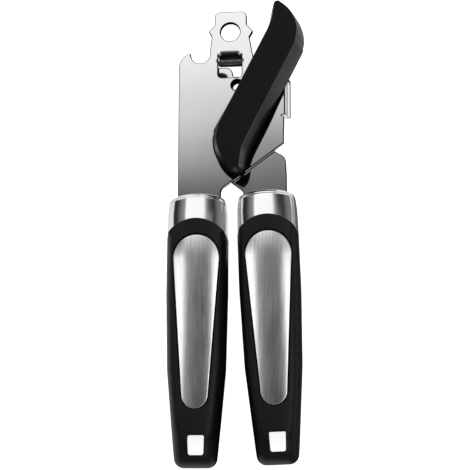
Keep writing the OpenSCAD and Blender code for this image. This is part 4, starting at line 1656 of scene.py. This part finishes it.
@dataclass
class Studio:
    """A pale floor, a soft surround and the camera.

    The three lines of stops give levels at angles, in degrees from straight up: the softbox
    beyond the head, along the tool and across it, and the bright patch to its right.
    """

    rise: tuple = ((0, 0.02), (4.6, 0.03), (5.9, 0.03), (7.8, 0.115), (10, 0.135), (12, 0.14),
                   (14.4, 0.14), (15.6, 0.25), (16.4, 0.33), (16.8, 0.41), (17.3, 0.54),
                   (17.75, 0.64), (18.4, 0.78), (19.6, 0.97), (24, 1.15), (30, 1.15))
    spread: tuple = ((-90, 0.9), (-78, 0.85), (-71, 0.1), (-65, 0.01), (-54, 0.02), (-45, 0.065),
                     (-38, 0.135), (-27, 0.24), (-24.6, 0.28), (-23.2, 1), (3.6, 1), (5.6, 0.55),
                     (9.5, 0.21), (14, 0.08), (19, 0.015), (33, 0.015), (40, 0.07), (50, 0.13),
                     (60, 0.18), (66, 0.17), (90, 0.17))
    patch: tuple = ((0, 0), (3, 0), (7, 0.62), (13, 0.66), (17, 1), (28, 1), (32, 0), (40, 0))
    target: tuple[float, float, float] = (-0.65, -1.3, 10)
    across: float = 6.0
    along: float = 12.5
    distance: float = 620.0
    lens: float = 105.17
    floor_level: float = 0.86
    left_level: float = 2.8
    right_level: float = 2.4

    def floor(self) -> None:
        """The floor: pale and diffuse, plain white to the camera, with three patches of painted
        shade.

        Only reflections see them: painted shade under the head, the grips and beside the right
        side.
        """
        half, fall = 4.0, -0.00005
        corners = ((-half, -half), (half, -half), (half, half), (-half, half))
        mesh = bpy.data.meshes.new("floor")
        mesh.from_pydata([(x, y, fall) for x, y in corners], [], [(0, 1, 2, 3)])
        obj = linked("floor", mesh)
        made = bpy.data.materials.new("floor_white")
        made.use_nodes = True
        g = Graph(made.node_tree)
        seen, shiny, through = (g.node("ShaderNodeLightPath", output=f"Is {ray} Ray")
                                for ray in ("Camera", "Glossy", "Transmission"))
        where = g.node("ShaderNodeTexCoord", output="Object")
        x = g.node("ShaderNodeSeparateXYZ", {}, {0: where}, 0) * 1000
        y = g.node("ShaderNodeSeparateXYZ", {}, {0: where}, 1) * 1000
        # Painted shade on the floor, seen only in reflections
        head = g.between(x, -22, 17, 5) * g.between(y, 26, 100, 6)
        grips = g.between(x, -31, 30, 5) * g.between(y, -106, -14, 6)
        right = 0.85 * g.between(x, 27, 70, 4) * (1 - g.step(y, 22, 34))
        level = self.floor_level * (1 - g.highest(head, grips, right))
        diffuse = g.node("ShaderNodeBsdfDiffuse", {}, {"Color": (0.9, 0.9, 0.9, 1)})
        white, shaded = (
            g.node("ShaderNodeEmission", {}, {"Color": colour, "Strength": strength})
            for colour, strength in (((1, 1, 1, 1), self.floor_level),
                                     (g.tint(level, (1, 1, 1)), 1.0)))
        plain = g.node("ShaderNodeAddShader", {}, {0: diffuse, 1: white})
        mirrored = g.node("ShaderNodeMixShader", {}, {
            0: g.maths("MINIMUM", shiny + through, 1.0), 1: diffuse, 2: shaded})
        mix = g.node("ShaderNodeMixShader", {}, {0: seen, 1: mirrored, 2: plain})
        g.node("ShaderNodeOutputMaterial", {}, {"Surface": mix})
        mesh.materials.append(made)

    def surround(self) -> None:
        """The world: plain white to the camera, softboxes under a dim ceiling to reflections.

        Levels are functions of the direction and of its two angles from straight up, across
        and along the tool, and the brightest one counts.  The softbox beyond the head has an
        upper and a lower part.  The others are strips at the sides, a crest near the horizon,
        a glint, a slanting patch over the handles, and one behind and one beside the tool.
        """
        world = bpy.data.worlds.new("studio")
        bpy.context.scene.world = world
        world.use_nodes = True
        g = Graph(world.node_tree)
        direction = g.node("ShaderNodeTexCoord", output="Generated")
        split = g.node("ShaderNodeSeparateXYZ", {}, {0: direction})
        x, y, z = (Wire(g, split.socket.node.outputs[k]) for k in range(3))
        degree = 180 / math.pi
        tx = g.maths("ARCTAN2", x, z) * degree
        ty = g.maths("ARCTAN2", y, z) * degree
        rise, across = g.ramp(ty, self.rise), g.ramp(tx, self.spread)
        upper = g.step(ty, 12, 14.5)
        lower = 1 - upper
        lean = g.maths("MINIMUM", g.maths("MAXIMUM", -4.8 - tx, 0.0), 3.2)
        lift = 1 + 0.2 * lean * (1 - g.step(ty, 16.2, 18.6)) * g.step(ty, 14.2, 15.6)
        head = across * g.maths("MINIMUM", rise * lift, 1.15) * (1 - g.step(ty, 80, 88)) * upper
        crest = 0.95 * g.step(y, 0.5, 0.58) * (1 - g.step(y, 0.96, 0.99))
        slant = 0.5 * g.between(tx, 6, 26, 2) * g.between(ty, -20, -3, 2)
        glint = g.between(ty, 17.0, 21.6, 0.4) * g.ramp(tx, self.patch)
        over = (rise * g.between(tx, -20, 12, 3) * (1 + 0.09 * g.maths("MAXIMUM", -2 - tx, 0.0))
                * lower)
        left = ((self.left_level * g.between(tx, -46, -24, 5) + 0.9 * g.between(tx, -64, -52, 5))
                * g.step(ty, 4.8, 8.6))
        right = self.right_level * g.between(tx, 17, 50, 4) + 0.8 * g.between(tx, 56, 90, 6)
        sides = (left + right * (0.2 * g.step(ty, -32, -22) + 0.8 * g.step(ty, -9, -2))) * lower
        behind = 0.45 * (1 - g.step(y, -0.5, -0.34)) * g.step(z, 0.25, 0.45)
        flank = (0.45 * (1 - g.step(tx, -70, -62)) * (1 - g.step(y, -0.05, 0.1))
                 * g.step(z, 0.06, 0.2))
        level = g.highest(head, over, sides, crest, glint, slant, behind, flank, 0.02)
        shade = g.node("ShaderNodeCombineXYZ", {}, dict.fromkeys(range(3), level))
        seen = g.node("ShaderNodeLightPath", output="Is Camera Ray")
        around, plain = (g.node("ShaderNodeBackground", {}, {"Color": colour, "Strength": 1.0})
                         for colour in (shade, (1, 1, 1, 1)))
        both = g.node("ShaderNodeMixShader", {}, {0: seen, 1: around, 2: plain})
        g.node("ShaderNodeOutputWorld", {}, {"Surface": both})

    def lamp(self, name: str, place: Sequence[float], size: float, power: float) -> None:
        """A soft area lamp that looks at the tool's middle.

        Args:
            name: Its name.
            place: Where it stands, in metres.
            size: Its diameter, in metres.
            power: Its power, in watts.
        """
        data = bpy.data.lights.new(name, "AREA")
        data.shape, data.size, data.energy = "DISK", size, power
        obj = linked(name, data)
        obj.location = Vector(place)
        obj.rotation_mode = "QUATERNION"
        obj.rotation_quaternion = (Vector((0, 0, 0)) - obj.location).to_track_quat("-Z", "Y")
        obj.visible_camera = False
        obj.visible_glossy = False

    def camera(self) -> None:
        """The camera, above the tool and a little to its lower right."""
        data = bpy.data.cameras.new("camera")
        data.lens, data.sensor_width = self.lens, 36
        data.clip_start, data.clip_end = 0.01, 20
        obj = linked("camera", data)
        across, along = (math.tan(math.radians(angle)) for angle in (self.across, self.along))
        back = Vector((across, -along, 1)).normalized()
        obj.location = (Vector(self.target) + back * self.distance) * MM
        right = Vector((0, 1, 0)).cross(back).normalized()
        turn = Matrix((right, back.cross(right), back)).transposed()
        obj.rotation_mode = "QUATERNION"
        obj.rotation_quaternion = turn.to_quaternion()
        bpy.context.scene.camera = obj

    def build(self) -> None:
        """Sets up the whole studio."""
        bpy.context.scene.view_settings.view_transform = "Standard"
        self.camera()
        self.floor()
        self.surround()
        self.lamp("fill", (0.0, 0.1, 0.9), 0.8, 4.0)


def main() -> None:
    """Builds the studio and every sub-assembly."""
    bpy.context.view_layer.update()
    Studio().build()
    FrontPlate().build()
    RearPlate().build()
    for side in Side:
        Handle(side).build()
    TurnKey().build()
    Mechanism().build()


if __name__ == "__main__":
    main()
